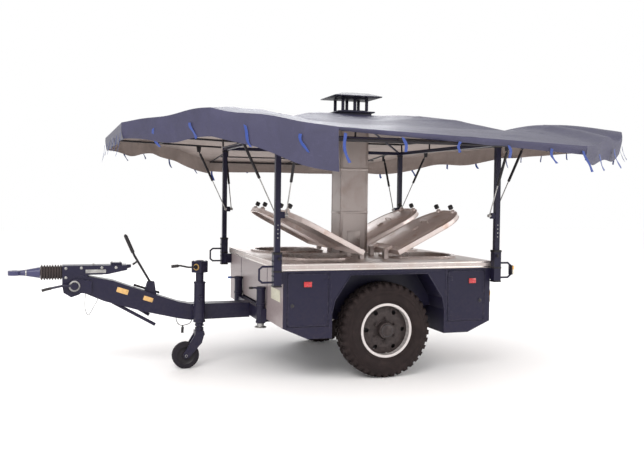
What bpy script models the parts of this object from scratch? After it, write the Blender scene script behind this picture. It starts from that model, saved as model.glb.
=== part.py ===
"""Mobile field-kitchen trailer.

Metres, +Z up. The pieces are placed from the ground point under the axle: +X runs to the rear,
-X to the towing eye, -Y is the trailer's left side. The empty that carries them all moves that
point so that the world origin is the bottom centre of the whole trailer.
"""
import math

import bmesh
import bpy
from mathutils import Matrix, Vector

# ---- driving sizes ----
GAP = 0.0003                 # between pieces that rest on each other
RUN = 0.0008                 # round pieces that move in each other
PIN_GAP = 0.0006             # flat faces that turn past each other on a pin
SWING = 0.004                # plates that move past each other

EYE_REACH = 3.600            # axle to the front of the towing eye
REAR_REACH = 2.660           # axle to the rear flap's outer edge

TYRE_RADIUS = 0.479
TYRE_WIDTH = 0.270
TYRE_SIDE = 1.020            # centre line of a tyre from the trailer's centre line
BEAD_RADIUS = 0.262
BEAD_IN = 0.035              # bead inside the tyre's side
WHEEL_FACETS = 36
STUB_RADIUS = 0.045
AXLE_BOX = 0.100
AXLE_HALF = 0.840
LUG_COUNT = 6
LUG_CIRCLE = 0.115
VENT_CIRCLE = 0.195

RAIL_SIDE = 0.400
RAIL_WIDTH = 0.080
FRAME_LOW = 0.500
FRAME_HIGH = 0.666

BODY_FRONT = -1.100
BODY_REAR = 1.120
BODY_SIDE = 1.195
BODY_LOW = 0.440
BODY_WALL = 0.030
CHAMFER_RISE = 0.110
CHAMFER_RUN = 0.250
TUNNEL_SIDE = 0.500
TUNNEL_HIGH = 0.680
ARCH_INNER = 0.860
ARCH_FOOT = 0.600
ARCH_KNEE = 0.575
ARCH_KNEE_HIGH = 0.800
ARCH_CROWN = 0.410
ARCH_HIGH = 1.050
DOOR_THICK = 0.022
DOOR_LOW = 0.560
DOOR_HIGH = 1.075
DOOR_HINGE = 0.640           # hinge line of each side door, from the axle
DOOR_EDGE = 1.055            # free edge of each side door
LOCKER_DEPTH = 0.300

WORKTOP_FRONT = -1.119
WORKTOP_REAR = 1.145
WORKTOP_SIDE = 1.203
WORKTOP_HIGH = 1.1675
TRIM_HIGH = 0.068
SHEET = 0.012
KITCHEN_X = 0.013
KETTLE_X = 0.600
KETTLE_Y = 0.490
KETTLE_HALF_X = 0.380
KETTLE_HALF_Y = 0.330
KETTLE_CORNER = 0.280
KETTLE_DEEP = 0.360
KETTLE_WALL = 0.014
RIM_HIGH = 0.022
RIM_WIDE = 0.030

LID_PIN_X = 0.135
LID_PIN_Z = 1.250
LID_Y = 0.510
LID_LONG = 0.940
LID_HALF_Y = 0.430
LID_CORNER = 0.330
LID_SKIRT = 0.050
LID_TILT = math.radians(27)
LID_KNOB_Y = 0.170
LID_ARM = 0.010              # half width of a lid's hinge arm

DUCT_HALF_X = 0.160
DUCT_HALF_Y = 0.150
DUCT_TOP = 2.720
CAP_RIM = 0.360
CAP_TOP = 2.963

POST_FRONT = -1.175
POST_REAR = 1.158
POST_SIDE = 1.243
POST_HALF = 0.026
SLEEVE_HALF = 0.0385
SLEEVE_LOW = 0.960
SLEEVE_HIGH = 1.280
FRAME_TOP = 2.395
RAIL_HALF = 0.020
ROOF_RING = 0.240
ROOF_PEAK = 2.700
CLOTH = 0.012

FLAP_THICK = 0.020
FLAP_LIP = 0.090
END_LIP = 0.150
SIDE_FLAP_REACH = 2.735
SIDE_FLAP_DROP = -0.125
SIDE_FLAP_FRONT = -1.100
SIDE_FLAP_REAR = 1.150
FRONT_FLAP_REACH = 2.600
FRONT_FLAP_RISE = 0.050
REAR_FLAP_RISE = 0.135
END_FLAP_SIDE = 1.165
HINGE_OUT = 0.045            # hinge line of a flap outside its post line
HINGE_ROD = 0.008
LUG_COUNT_FLAP = 4

STRUT_BASE_DROP = 0.760
STRUT_REACH = 0.290
STRUT_LOW = 0.055
STRUT_RADIUS = 0.014
STRUT_FOOT = 0.016           # half width of a strut's foot along its pin
STRUT_EYE = 0.009            # half width of a rod's eye along its pin
ROD_RADIUS = 0.006
STRUT_BODY = 0.400           # a cylinder's open end from its own pin
STRUT_NECK = 0.045           # the slim end of a cylinder, beside its flap's bracket
STRUT_CROWN = 0.018          # the bore's end from the pin, through the neck's root
STRUT_OVERLAP = 0.045        # how far the rod stays inside when the flap is raised
END_STRUT_SIDE = 1.185
SIDE_STRUT_IN = 0.085

ARM_HALF = 0.090
ARM_KNEE_X = -1.792
JOINT_X = -2.967
JOINT_Z = 0.879
JOINT_THICK = 0.030
HEAD_HALF = 0.085
HEAD_TOP = 1.081
HEAD_FRONT = -3.084
HEAD_REAR = -2.449
SHAFT_Z = 1.010
SHAFT_RADIUS = 0.032
SHAFT_TRAVEL = 0.080
BELLOWS_FRONT = -3.294
BELLOWS_RADIUS = 0.078
BELLOWS_RINGS = 8

LEVER_X = -2.200
LEVER_Z = 0.880
LEVER_GRIP = (-2.462, 1.379)
LEVER_NECK = (-2.370, 1.171)

JOCKEY_X = -1.715
JOCKEY_Y = -0.160
JOCKEY_SLEEVE = 0.058
JOCKEY_TUBE = 0.042
JOCKEY_LEG = 0.033
JOCKEY_WHEEL_X = -1.857
JOCKEY_WHEEL_RADIUS = 0.140
JOCKEY_WHEEL_HALF = 0.038
JOCKEY_RISE = 0.012          # how far the leg can still go up
GEAR_LOW = 1.000
GEAR_HIGH = 1.119
CRANK_TURN = math.radians(45)

STEADY_X = -1.148
STEADY_Y = 0.530
STEADY_RADIUS = 0.045
STEADY_LEG = 0.036
STEADY_LOW = 0.505
STEADY_HIGH = 0.880

BRAKE_CABLE = 0.006
BRAKE_CABLE_ROUTE = (
    (-2.862, -0.100, 0.8030), (-2.862, -0.100, 0.770), (-2.866, -0.099, 0.700), (-2.860, -0.097, 0.630),
    (-2.834, -0.094, 0.580), (-2.804, -0.090, 0.615), (-2.772, -0.084, 0.675), (-2.746, -0.080, 0.720),
    (-2.741, -0.080, 0.7424),
)
LEAD = 0.008
LEAD_ROUTE = (
    (-1.940, -0.050, 0.5164), (-1.939, -0.050, 0.495), (-1.920, -0.051, 0.452), (-1.888, -0.052, 0.434),
    (-1.850, -0.052, 0.436), (-1.802, -0.051, 0.450), (-1.781, -0.050, 0.474), (-1.780, -0.050, 0.4922),
)

FRAME_FACE = STEADY_X - 0.012        # front face of the steadies' bracket
AXLE_X = (EYE_REACH - REAR_REACH) / 2
SIDES = (("left", -1), ("right", 1))
ENDS = (("front", -1), ("rear", 1))


# ---- building blocks ----
def clear_scene():
    """Remove whatever the file held."""
    for thing in list(bpy.data.objects):
        bpy.data.objects.remove(thing, do_unlink=True)


def paint(name, color, roughness, metallic=0.0):
    """One Principled material."""
    material = bpy.data.materials.new(name)
    material.use_nodes = True
    shader = material.node_tree.nodes["Principled BSDF"]
    shader.inputs["Base Color"].default_value = (*color, 1.0)
    shader.inputs["Roughness"].default_value = roughness
    shader.inputs["Metallic"].default_value = metallic
    material.diffuse_color = (*color, 1.0)
    return material


def outward(shape):
    """Point every face of a closed shape outwards."""
    bmesh.ops.recalc_face_normals(shape, faces=shape.faces)
    if shape.calc_volume(signed=True) < 0:
        bmesh.ops.reverse_faces(shape, faces=shape.faces)
    return shape


def box(low, high):
    """A block between two corners."""
    shape = bmesh.new()
    size = [high[i] - low[i] for i in range(3)]
    middle = [(high[i] + low[i]) / 2 for i in range(3)]
    place = Matrix.Translation(middle) @ Matrix.Diagonal((*size, 1.0))
    bmesh.ops.create_cube(shape, size=1.0, matrix=place)
    return shape


def prism(outline, along, low, high):
    """A plane outline pushed along X, Y or Z. Its points are the two other coordinates, in order."""
    spot = {
        "X": lambda a, b, t: (t, a, b),
        "Y": lambda a, b, t: (a, t, b),
        "Z": lambda a, b, t: (a, b, t),
    }[along]
    shape = bmesh.new()
    near = [shape.verts.new(spot(a, b, low)) for a, b in outline]
    far = [shape.verts.new(spot(a, b, high)) for a, b in outline]
    shape.faces.new(near)
    shape.faces.new(far)
    for i in range(len(outline)):
        j = (i + 1) % len(outline)
        shape.faces.new((near[i], near[j], far[j], far[i]))
    return outward(shape)


def frame_across(direction):
    """Two unit vectors square to a direction."""
    direction = Vector(direction).normalized()
    helper = Vector((0, 0, 1)) if abs(direction.z) < 0.9 else Vector((1, 0, 0))
    side = direction.cross(helper).normalized()
    return side, side.cross(direction).normalized()


def rod(start, end, radius, sides=16, end_radius=None):
    """A round bar, or a cone with its own end radius."""
    start, end = Vector(start), Vector(end)
    across, up = frame_across(end - start)
    shape = bmesh.new()
    rings = []
    for centre, r in ((start, radius), (end, radius if end_radius is None else end_radius)):
        turn = [2 * math.pi * i / sides for i in range(sides)]
        spokes = [across * math.cos(t) + up * math.sin(t) for t in turn]
        rings.append([shape.verts.new(centre + r * spoke) for spoke in spokes])
    shape.faces.new(rings[0])
    shape.faces.new(rings[1])
    for i in range(sides):
        j = (i + 1) % sides
        shape.faces.new((rings[0][i], rings[0][j], rings[1][j], rings[1][i]))
    return outward(shape)


def bent_bar(points, radius, sides=10):
    """A round bar that follows a line of points, mitred at each bend."""
    points = [Vector(p) for p in points]
    shape = bmesh.new()
    rings = []
    across, up = frame_across(points[1] - points[0])
    for i, point in enumerate(points):
        before = (point - points[i - 1]).normalized() if i else (points[1] - point).normalized()
        after = (points[i + 1] - point).normalized() if i + 1 < len(points) else before
        normal = (before + after).normalized()
        across = (across - before * across.dot(before)).normalized()
        up = before.cross(across)
        ring = []
        for k in range(sides):
            turn = 2 * math.pi * k / sides
            offset = radius * (across * math.cos(turn) + up * math.sin(turn))
            offset -= before * (offset.dot(normal) / before.dot(normal))
            ring.append(shape.verts.new(point + offset))
        rings.append(ring)
    shape.faces.new(rings[0])
    shape.faces.new(rings[-1])
    for first, second in zip(rings, rings[1:]):
        for k in range(sides):
            m = (k + 1) % sides
            shape.faces.new((first[k], first[m], second[m], second[k]))
    bmesh.ops.triangulate(shape, faces=shape.faces[:])
    return outward(shape)


def turned(profile, centre, axis, segments=32, closed=False):
    """A profile of (radius, height) turned about an axis. Open profiles start and end on the axis."""
    centre = Vector(centre)
    axis = Vector(axis).normalized()
    across, up = frame_across(axis)
    shape = bmesh.new()
    rows = []
    for radius, height in profile:
        base = centre + axis * height
        if radius < 1e-9:
            rows.append([shape.verts.new(base)] * segments)
            continue
        turn = [2 * math.pi * i / segments for i in range(segments)]
        rows.append([shape.verts.new(base + radius * (across * math.cos(t) + up * math.sin(t))) for t in turn])
    pairs = list(zip(rows, rows[1:]))
    if closed:
        pairs.append((rows[-1], rows[0]))
    for first, second in pairs:
        for i in range(segments):
            j = (i + 1) % segments
            corner = []
            for vert in (first[i], first[j], second[j], second[i]):
                if vert not in corner:
                    corner.append(vert)
            shape.faces.new(corner)
    return outward(shape)


def rounded(half_x, half_y, corner, steps=6, centre=(0.0, 0.0)):
    """A rectangle with round corners, as a list of points."""
    points = []
    for sign_x, sign_y, first in ((1, 1, 0), (-1, 1, 90), (-1, -1, 180), (1, -1, 270)):
        middle = (centre[0] + sign_x * (half_x - corner), centre[1] + sign_y * (half_y - corner))
        for i in range(steps + 1):
            turn = math.radians(first + 90 * i / steps)
            points.append((middle[0] + corner * math.cos(turn), middle[1] + corner * math.sin(turn)))
    return points


def as_object(shape, name):
    """Link a shape into the scene."""
    mesh = bpy.data.meshes.new(name)
    shape.to_mesh(mesh)
    shape.free()
    thing = bpy.data.objects.new(name, mesh)
    bpy.context.scene.collection.objects.link(thing)
    return thing


def combine(target, shape, operation):
    """Join a shape to an object, or cut it from the object, with an exact boolean."""
    tool = as_object(shape, "tool")
    change = target.modifiers.new("change", "BOOLEAN")
    change.operation = operation
    change.solver = "EXACT"
    change.object = tool
    graph = bpy.context.evaluated_depsgraph_get()
    mesh = bpy.data.meshes.new_from_object(target.evaluated_get(graph))
    target.modifiers.clear()
    target.data = mesh
    bpy.data.objects.remove(tool, do_unlink=True)


def drop_slivers(mesh):
    """Delete the flat two-faced leftovers that a boolean can leave where bars cross."""
    shape = bmesh.new()
    shape.from_mesh(mesh)
    leftovers = [
        vert for vert in shape.verts
        if all(len({v for face in edge.link_faces for v in face.verts}) == 3 for edge in vert.link_edges)
    ]
    bmesh.ops.delete(shape, geom=leftovers, context="VERTS")
    shape.to_mesh(mesh)
    shape.free()


def node(name, material, pieces, cuts=(), origin=(0, 0, 0), extra=(), bores=()):
    """One named piece: shapes joined, cuts taken out, extra shapes joined, and last the bores cut."""
    thing = as_object(pieces[0], name)
    for shape in pieces[1:]:
        combine(thing, shape, "UNION")
    for shape in cuts:
        combine(thing, shape, "DIFFERENCE")
    for shape in extra:
        combine(thing, shape, "UNION")
    for shape in bores:
        combine(thing, shape, "DIFFERENCE")
    drop_slivers(thing.data)
    thing.data.name = name
    thing.data.materials.clear()
    thing.data.materials.append(material)
    thing.data.transform(Matrix.Translation(-Vector(origin)))
    thing.location = origin
    thing.parent = bpy.data.objects["trailer"]
    thing.data.shade_smooth()
    thing.data.set_sharp_from_angle(angle=math.radians(35))
    return thing


# ---- running gear ----
def build_wheels(rubber, wheel_paint):
    """Each tyre with its tread grooves, and each wheel with hub cap, nuts and vents."""
    half = TYRE_WIDTH / 2
    shoulder = TYRE_RADIUS - 0.035
    for side, sign in SIDES:
        middle = Vector((0, sign * TYRE_SIDE, TYRE_RADIUS))
        axis = (0, sign, 0)
        profile = [
            (BEAD_RADIUS, -half + BEAD_IN), (BEAD_RADIUS + 0.014, -half + BEAD_IN), (0.375, -half),
            (shoulder, -half + 0.010), (TYRE_RADIUS, -half + 0.045), (TYRE_RADIUS, half - 0.045),
            (shoulder, half - 0.010), (0.375, half), (BEAD_RADIUS + 0.014, half - BEAD_IN), (BEAD_RADIUS, half - BEAD_IN),
        ]
        node("tyre_" + side, rubber, [turned(profile, middle, axis, WHEEL_FACETS, closed=True)], origin=middle)
        bore = STUB_RADIUS + RUN
        seat = BEAD_RADIUS - GAP
        lip = half - BEAD_IN
        face = 0.060
        profile = [
            (bore, -0.080), (0.090, -0.080), (0.110, face - 0.012), (0.170, face - 0.012), (seat - 0.022, 0.030),
            (seat - 0.022, -lip), (seat, -lip), (seat, lip + GAP), (seat + 0.010, lip + GAP),
            (seat + 0.010, lip + 0.008), (seat - 0.014, lip + 0.008), (seat - 0.014, 0.042), (0.174, face),
            (0.085, face), (0.078, face + 0.060), (bore, face + 0.060),
        ]
        disc = turned(profile, middle, axis, WHEEL_FACETS, closed=True)
        nuts = []
        vents = []
        for i in range(LUG_COUNT):
            turn = 2 * math.pi * (i + 0.5) / LUG_COUNT
            spot = middle + Vector((math.cos(turn), 0, math.sin(turn))) * LUG_CIRCLE
            out = Vector(axis)
            nuts.append(rod(spot + out * (face - 0.004), spot + out * (face + 0.022), 0.015, 6))
            turn = 2 * math.pi * i / LUG_COUNT
            spot = middle + Vector((math.cos(turn), 0, math.sin(turn))) * VENT_CIRCLE
            vents.append(rod(spot - out * 0.02, spot + out * 0.10, 0.024, 10))
        node("rim_" + side, wheel_paint, [disc], cuts=vents, origin=middle, extra=nuts)


def build_axle(steel):
    """The square axle with a round stub at each end and a cap nut that keeps each wheel on."""
    low = FRAME_LOW - GAP - AXLE_BOX
    pieces = [box((-AXLE_BOX / 2, -AXLE_HALF, low), (AXLE_BOX / 2, AXLE_HALF, low + AXLE_BOX))]
    for side, sign in SIDES:
        inner = (0, sign * (AXLE_HALF - 0.02), TYRE_RADIUS)
        outer = (0, sign * (TYRE_SIDE + 0.124), TYRE_RADIUS)
        pieces.append(rod(inner, outer, STUB_RADIUS, WHEEL_FACETS))
        washer = (0, sign * (TYRE_SIDE + 0.120 + PIN_GAP), TYRE_RADIUS)
        cap = (0, sign * (TYRE_SIDE + 0.132), TYRE_RADIUS)
        pieces.append(rod(washer, cap, 0.060, 20))
        span = sorted((sign * (AXLE_HALF - 0.03), sign * (AXLE_HALF + 0.004)))
        across = AXLE_BOX / 2 + 0.010
        pieces.append(box((-across, span[0], low - 0.004), (across, span[1], TYRE_RADIUS + 0.060)))
    node("axle_beam", steel, pieces, origin=(0, 0, TYRE_RADIUS))


def build_chassis(navy):
    """Two rails, cross members, and the outer tubes of the two front steadies on their bracket."""
    front = BODY_FRONT - 0.020
    rear = BODY_REAR - 0.010
    pieces = []
    for sign in (-1, 1):
        pieces.append(box(
            (front, sign * RAIL_SIDE - RAIL_WIDTH / 2, FRAME_LOW),
            (rear, sign * RAIL_SIDE + RAIL_WIDTH / 2, FRAME_HIGH),
        ))
    across = RAIL_SIDE + RAIL_WIDTH / 2
    for middle in (front + 0.04, -0.45, 0.45, rear - 0.04):
        pieces.append(box((middle - 0.04, -across, FRAME_LOW), (middle + 0.04, across, FRAME_HIGH)))
    bracket = (FRAME_FACE, -STEADY_Y - 0.055, FRAME_LOW + 0.02)
    pieces.append(box(bracket, (BODY_FRONT - GAP, STEADY_Y + 0.055, FRAME_HIGH - 0.01)))
    cuts = []
    for sign in (-1, 1):
        foot = (STEADY_X, sign * STEADY_Y, STEADY_LOW)
        head = (STEADY_X, sign * STEADY_Y, STEADY_HIGH)
        pieces.append(rod(foot, head, STEADY_RADIUS, 18))
        collar = (STEADY_X, sign * STEADY_Y, STEADY_HIGH - 0.012)
        lever = (STEADY_X - 0.110, sign * STEADY_Y, STEADY_HIGH - 0.012)
        pieces.append(rod(collar, lever, 0.009, 10))
        bore_top = (STEADY_X, sign * STEADY_Y, STEADY_HIGH - 0.026)
        cuts.append(rod((STEADY_X, sign * STEADY_Y, STEADY_LOW - 0.1), bore_top, STEADY_LEG + RUN, 18))
    node("chassis_frame", navy, pieces, cuts=cuts)


def build_steadies(steel):
    """The sliding leg of each steady, with its foot plate."""
    for side, sign in SIDES:
        top = (STEADY_X, sign * STEADY_Y, STEADY_HIGH - 0.036)
        low = (STEADY_X, sign * STEADY_Y, STEADY_LOW - 0.035)
        foot = (STEADY_X, sign * STEADY_Y, STEADY_LOW - 0.045)
        leg = rod(low, top, STEADY_LEG, 18)
        plate = rod(foot, (low[0], low[1], low[2] + 0.002), 0.052, 18)
        node("steady_leg_" + side, steel, [leg, plate], origin=top)


# ---- body ----
def body_outline():
    """Side outline of the body, front to rear."""
    return [
        (BODY_FRONT, BODY_LOW + CHAMFER_RISE), (BODY_FRONT + CHAMFER_RUN, BODY_LOW),
        (BODY_REAR - CHAMFER_RUN, BODY_LOW), (BODY_REAR, BODY_LOW + CHAMFER_RISE),
        (BODY_REAR, WORKTOP_HIGH - TRIM_HIGH - GAP), (BODY_FRONT, WORKTOP_HIGH - TRIM_HIGH - GAP),
    ]


def build_body(navy):
    """The tub: side lockers around the wheel arches, a well for the kettles and a tunnel for the frame."""
    top = WORKTOP_HIGH - TRIM_HIGH
    shell = prism(body_outline(), "Y", -BODY_SIDE, BODY_SIDE)
    cuts = [
        box((BODY_FRONT - 1, -TUNNEL_SIDE, 0), (BODY_REAR + 1, TUNNEL_SIDE, TUNNEL_HIGH)),
        box((-ARCH_FOOT, -BODY_SIDE - 1, 0), (ARCH_FOOT, BODY_SIDE + 1, TUNNEL_HIGH)),
        box((BODY_FRONT + BODY_WALL, -ARCH_INNER + 0.03, TUNNEL_HIGH + BODY_WALL),
            (BODY_REAR - BODY_WALL, ARCH_INNER - 0.03, top + 1)),
    ]
    arch = [
        (-ARCH_FOOT, 0), (-ARCH_FOOT, TUNNEL_HIGH - 0.001), (-ARCH_KNEE, ARCH_KNEE_HIGH), (-ARCH_CROWN, ARCH_HIGH),
        (ARCH_CROWN, ARCH_HIGH), (ARCH_KNEE, ARCH_KNEE_HIGH), (ARCH_FOOT, TUNNEL_HIGH - 0.001), (ARCH_FOOT, 0),
    ]
    for side, sign in SIDES:
        span = sorted((sign * ARCH_INNER, sign * (BODY_SIDE + 1)))
        cuts.append(prism(arch, "Y", *span))
        for end, way in ENDS:
            pocket = sorted((sign * (BODY_SIDE - LOCKER_DEPTH), sign * (BODY_SIDE + 1)))
            across = sorted((way * (DOOR_HINGE + 0.02), way * (DOOR_EDGE - 0.02)))
            cuts.append(box((across[0], pocket[0], DOOR_LOW + 0.02), (across[1], pocket[1], DOOR_HIGH - 0.02)))
            seat = sorted((sign * (BODY_SIDE - DOOR_THICK), sign * (BODY_SIDE + 1)))
            across = sorted((way * (DOOR_HINGE - SWING), way * (DOOR_EDGE + SWING)))
            cuts.append(box((across[0], seat[0], DOOR_LOW - SWING), (across[1], seat[1], DOOR_HIGH + SWING)))
    node("body_tub", navy, [shell], cuts=cuts)


def build_doors(navy):
    """Four locker doors, each hinged on its edge beside the wheel."""
    for side, sign in SIDES:
        for end, way in ENDS:
            hinge = (way * DOOR_HINGE, sign * BODY_SIDE)
            across = sorted((way * DOOR_HINGE, way * DOOR_EDGE))
            deep = sorted((sign * (BODY_SIDE - DOOR_THICK + GAP), sign * BODY_SIDE))
            leaf = box((across[0], deep[0], DOOR_LOW), (across[1], deep[1], DOOR_HIGH))
            lock_x = way * (DOOR_EDGE - 0.05)
            lock = rod((lock_x, sign * (BODY_SIDE - 0.004), 0.765), (lock_x, sign * (BODY_SIDE + 0.008), 0.765), 0.022, 14)
            name = "door_" + end + "_" + side
            node(name, navy, [leaf, lock], origin=(hinge[0], hinge[1], DOOR_LOW))


# ---- kitchen ----
def build_worktop(stainless):
    """The pressed worktop with its trim, four kettle openings, lid hinge blocks and the flue hole."""
    low = WORKTOP_HIGH - TRIM_HIGH
    slab = box((WORKTOP_FRONT, -WORKTOP_SIDE, low), (WORKTOP_REAR, WORKTOP_SIDE, WORKTOP_HIGH))
    cuts = [box(
        (WORKTOP_FRONT + SHEET, -WORKTOP_SIDE + SHEET, low - 1),
        (WORKTOP_REAR - SHEET, WORKTOP_SIDE - SHEET, WORKTOP_HIGH - SHEET),
    )]
    blocks = []
    for side, sign in SIDES:
        for end, way in ENDS:
            centre = (KITCHEN_X + way * KETTLE_X, sign * KETTLE_Y)
            hole = rounded(KETTLE_HALF_X + GAP, KETTLE_HALF_Y + GAP, KETTLE_CORNER, centre=centre)
            cuts.append(prism(hole, "Z", low - 1, WORKTOP_HIGH + 1))
            pin_x = KITCHEN_X + way * LID_PIN_X
            for offset in (-0.20, 0.20):
                y = sign * LID_Y + offset
                near = LID_ARM + PIN_GAP
                for span in ((y - near - 0.020, y - near), (y + near, y + near + 0.020)):
                    low_corner = (pin_x - 0.022, span[0], WORKTOP_HIGH - 0.004)
                    blocks.append(box(low_corner, (pin_x + 0.022, span[1], LID_PIN_Z + 0.020)))
                blocks.append(rod((pin_x, y - 0.020, LID_PIN_Z), (pin_x, y + 0.020, LID_PIN_Z), 0.008, 12))
    cuts.append(box(
        (-DUCT_HALF_X + SHEET, -DUCT_HALF_Y + SHEET, low - 1),
        (DUCT_HALF_X - SHEET, DUCT_HALF_Y - SHEET, WORKTOP_HIGH + 1),
    ))
    node("worktop", stainless, [slab], cuts=cuts, extra=blocks)


def build_kettles(stainless):
    """Four deep kettles that hang in the worktop by their rims."""
    for side, sign in SIDES:
        for end, way in ENDS:
            centre = (KITCHEN_X + way * KETTLE_X, sign * KETTLE_Y)
            wall = rounded(KETTLE_HALF_X, KETTLE_HALF_Y, KETTLE_CORNER, centre=centre)
            brim = rounded(KETTLE_HALF_X + RIM_WIDE, KETTLE_HALF_Y + RIM_WIDE, KETTLE_CORNER + RIM_WIDE, centre=centre)
            inner = rounded(
                KETTLE_HALF_X - KETTLE_WALL, KETTLE_HALF_Y - KETTLE_WALL, KETTLE_CORNER - KETTLE_WALL, centre=centre)
            low = WORKTOP_HIGH - KETTLE_DEEP
            outer_shape = prism(wall, "Z", low, WORKTOP_HIGH + RIM_HIGH)
            brim_shape = prism(brim, "Z", WORKTOP_HIGH + GAP, WORKTOP_HIGH + RIM_HIGH)
            hollow = prism(inner, "Z", low + KETTLE_WALL, WORKTOP_HIGH + 1)
            name = "kettle_" + end + "_" + side
            node(name, stainless, [brim_shape, outer_shape], cuts=[hollow], origin=(*centre, WORKTOP_HIGH))


def lid_outline(way, inset=0.0):
    """A lid's outline around its own pin line: square at the hinge, round at the free end."""
    start = 0.045 + inset
    end = LID_LONG - inset
    half = LID_HALF_Y - inset
    corner = LID_CORNER - inset
    points = [(start, -half)]
    for first in (-90, 0):
        turn_y = -(half - corner) if first == -90 else half - corner
        for i in range(7):
            turn = math.radians(first + 90 * i / 6)
            points.append((end - corner + corner * math.cos(turn), turn_y + corner * math.sin(turn)))
    points.append((start, half))
    return [(way * u, v) for u, v in points]


def build_lids(stainless):
    """Four hinged lids, open at their stays, each with skirt, hinge arms and two clamp knobs."""
    for side, sign in SIDES:
        for end, way in ENDS:
            pin = Vector((KITCHEN_X + way * LID_PIN_X, sign * LID_Y, LID_PIN_Z))
            under = WORKTOP_HIGH + RIM_HIGH + 0.003 - LID_PIN_Z
            top = under + LID_SKIRT
            shell = prism(lid_outline(way), "Z", under, top)
            hollow = prism(lid_outline(way, SHEET), "Z", under - 1, top - SHEET)
            extras = []
            for offset in (-0.20, 0.20):
                span = sorted((-way * 0.016, way * 0.085))
                extras.append(box((span[0], offset - LID_ARM, -0.016), (span[1], offset + LID_ARM, 0.016)))
                foot = sorted((way * 0.050, way * 0.085))
                extras.append(box((foot[0], offset - LID_ARM + 0.001, top - 0.006), (foot[1], offset + LID_ARM - 0.001, 0.014)))
            for offset in (-LID_KNOB_Y, LID_KNOB_Y):
                x = way * (LID_LONG - 0.045)
                extras.append(rod((x, offset, top - 0.004), (x, offset, top + 0.050), 0.008, 10))
                extras.append(rod((x, offset, top + 0.045), (x, offset, top + 0.085), 0.022, 12))
            eye = rod((0, -0.3, 0), (0, 0.3, 0), 0.008 + RUN, 12)
            name = "lid_" + end + "_" + side
            lid = node(name, stainless, [shell], cuts=[hollow], extra=extras, bores=[eye])
            lid.data.transform(Matrix.Rotation(-way * LID_TILT, 4, "Y"))
            lid.location = pin


def build_chimney(stainless, black):
    """The square flue with its base flange, and the cap on its collar."""
    flange = box((-DUCT_HALF_X - 0.02, -DUCT_HALF_Y - 0.02, WORKTOP_HIGH + GAP),
                 (DUCT_HALF_X + 0.02, DUCT_HALF_Y + 0.02, WORKTOP_HIGH + 0.012))
    flue = box((-DUCT_HALF_X, -DUCT_HALF_Y, WORKTOP_HIGH + 0.002), (DUCT_HALF_X, DUCT_HALF_Y, DUCT_TOP))
    way_out = box((-DUCT_HALF_X + SHEET, -DUCT_HALF_Y + SHEET, 0), (DUCT_HALF_X - SHEET, DUCT_HALF_Y - SHEET, 4))
    node("chimney_duct", stainless, [flange, flue], cuts=[way_out])
    collar = box((-DUCT_HALF_X - 0.03, -DUCT_HALF_Y - 0.03, DUCT_TOP + GAP),
                 (DUCT_HALF_X + 0.03, DUCT_HALF_Y + 0.03, DUCT_TOP + 0.120))
    plate = box((-0.27, -0.26, DUCT_TOP + 0.110), (0.27, 0.26, DUCT_TOP + 0.128))
    hole = box((-DUCT_HALF_X + SHEET, -DUCT_HALF_Y + SHEET, 0), (DUCT_HALF_X - SHEET, DUCT_HALF_Y - SHEET, 4))
    roof_low = DUCT_TOP + 0.175
    stays = []
    for x in (-0.20, 0.20):
        for y in (-0.19, 0.19):
            stays.append(box((x - 0.012, y - 0.012, DUCT_TOP + 0.120), (x + 0.012, y + 0.012, roof_low + 0.02)))
    cover = bmesh.new()
    base = [cover.verts.new((x * CAP_RIM, y * CAP_RIM * 0.94, roof_low)) for x, y in ((-1, -1), (1, -1), (1, 1), (-1, 1))]
    rim = [cover.verts.new((v.co.x, v.co.y, roof_low + 0.020)) for v in base]
    crown = [cover.verts.new((v.co.x * 0.45, v.co.y * 0.45, CAP_TOP)) for v in base]
    cover.faces.new(base)
    cover.faces.new(crown)
    for low_ring, high_ring in ((base, rim), (rim, crown)):
        for i in range(4):
            j = (i + 1) % 4
            cover.faces.new((low_ring[i], low_ring[j], high_ring[j], high_ring[i]))
    node("chimney_cap", black, [collar, plate], cuts=[hole], extra=stays + [outward(cover)])


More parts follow.
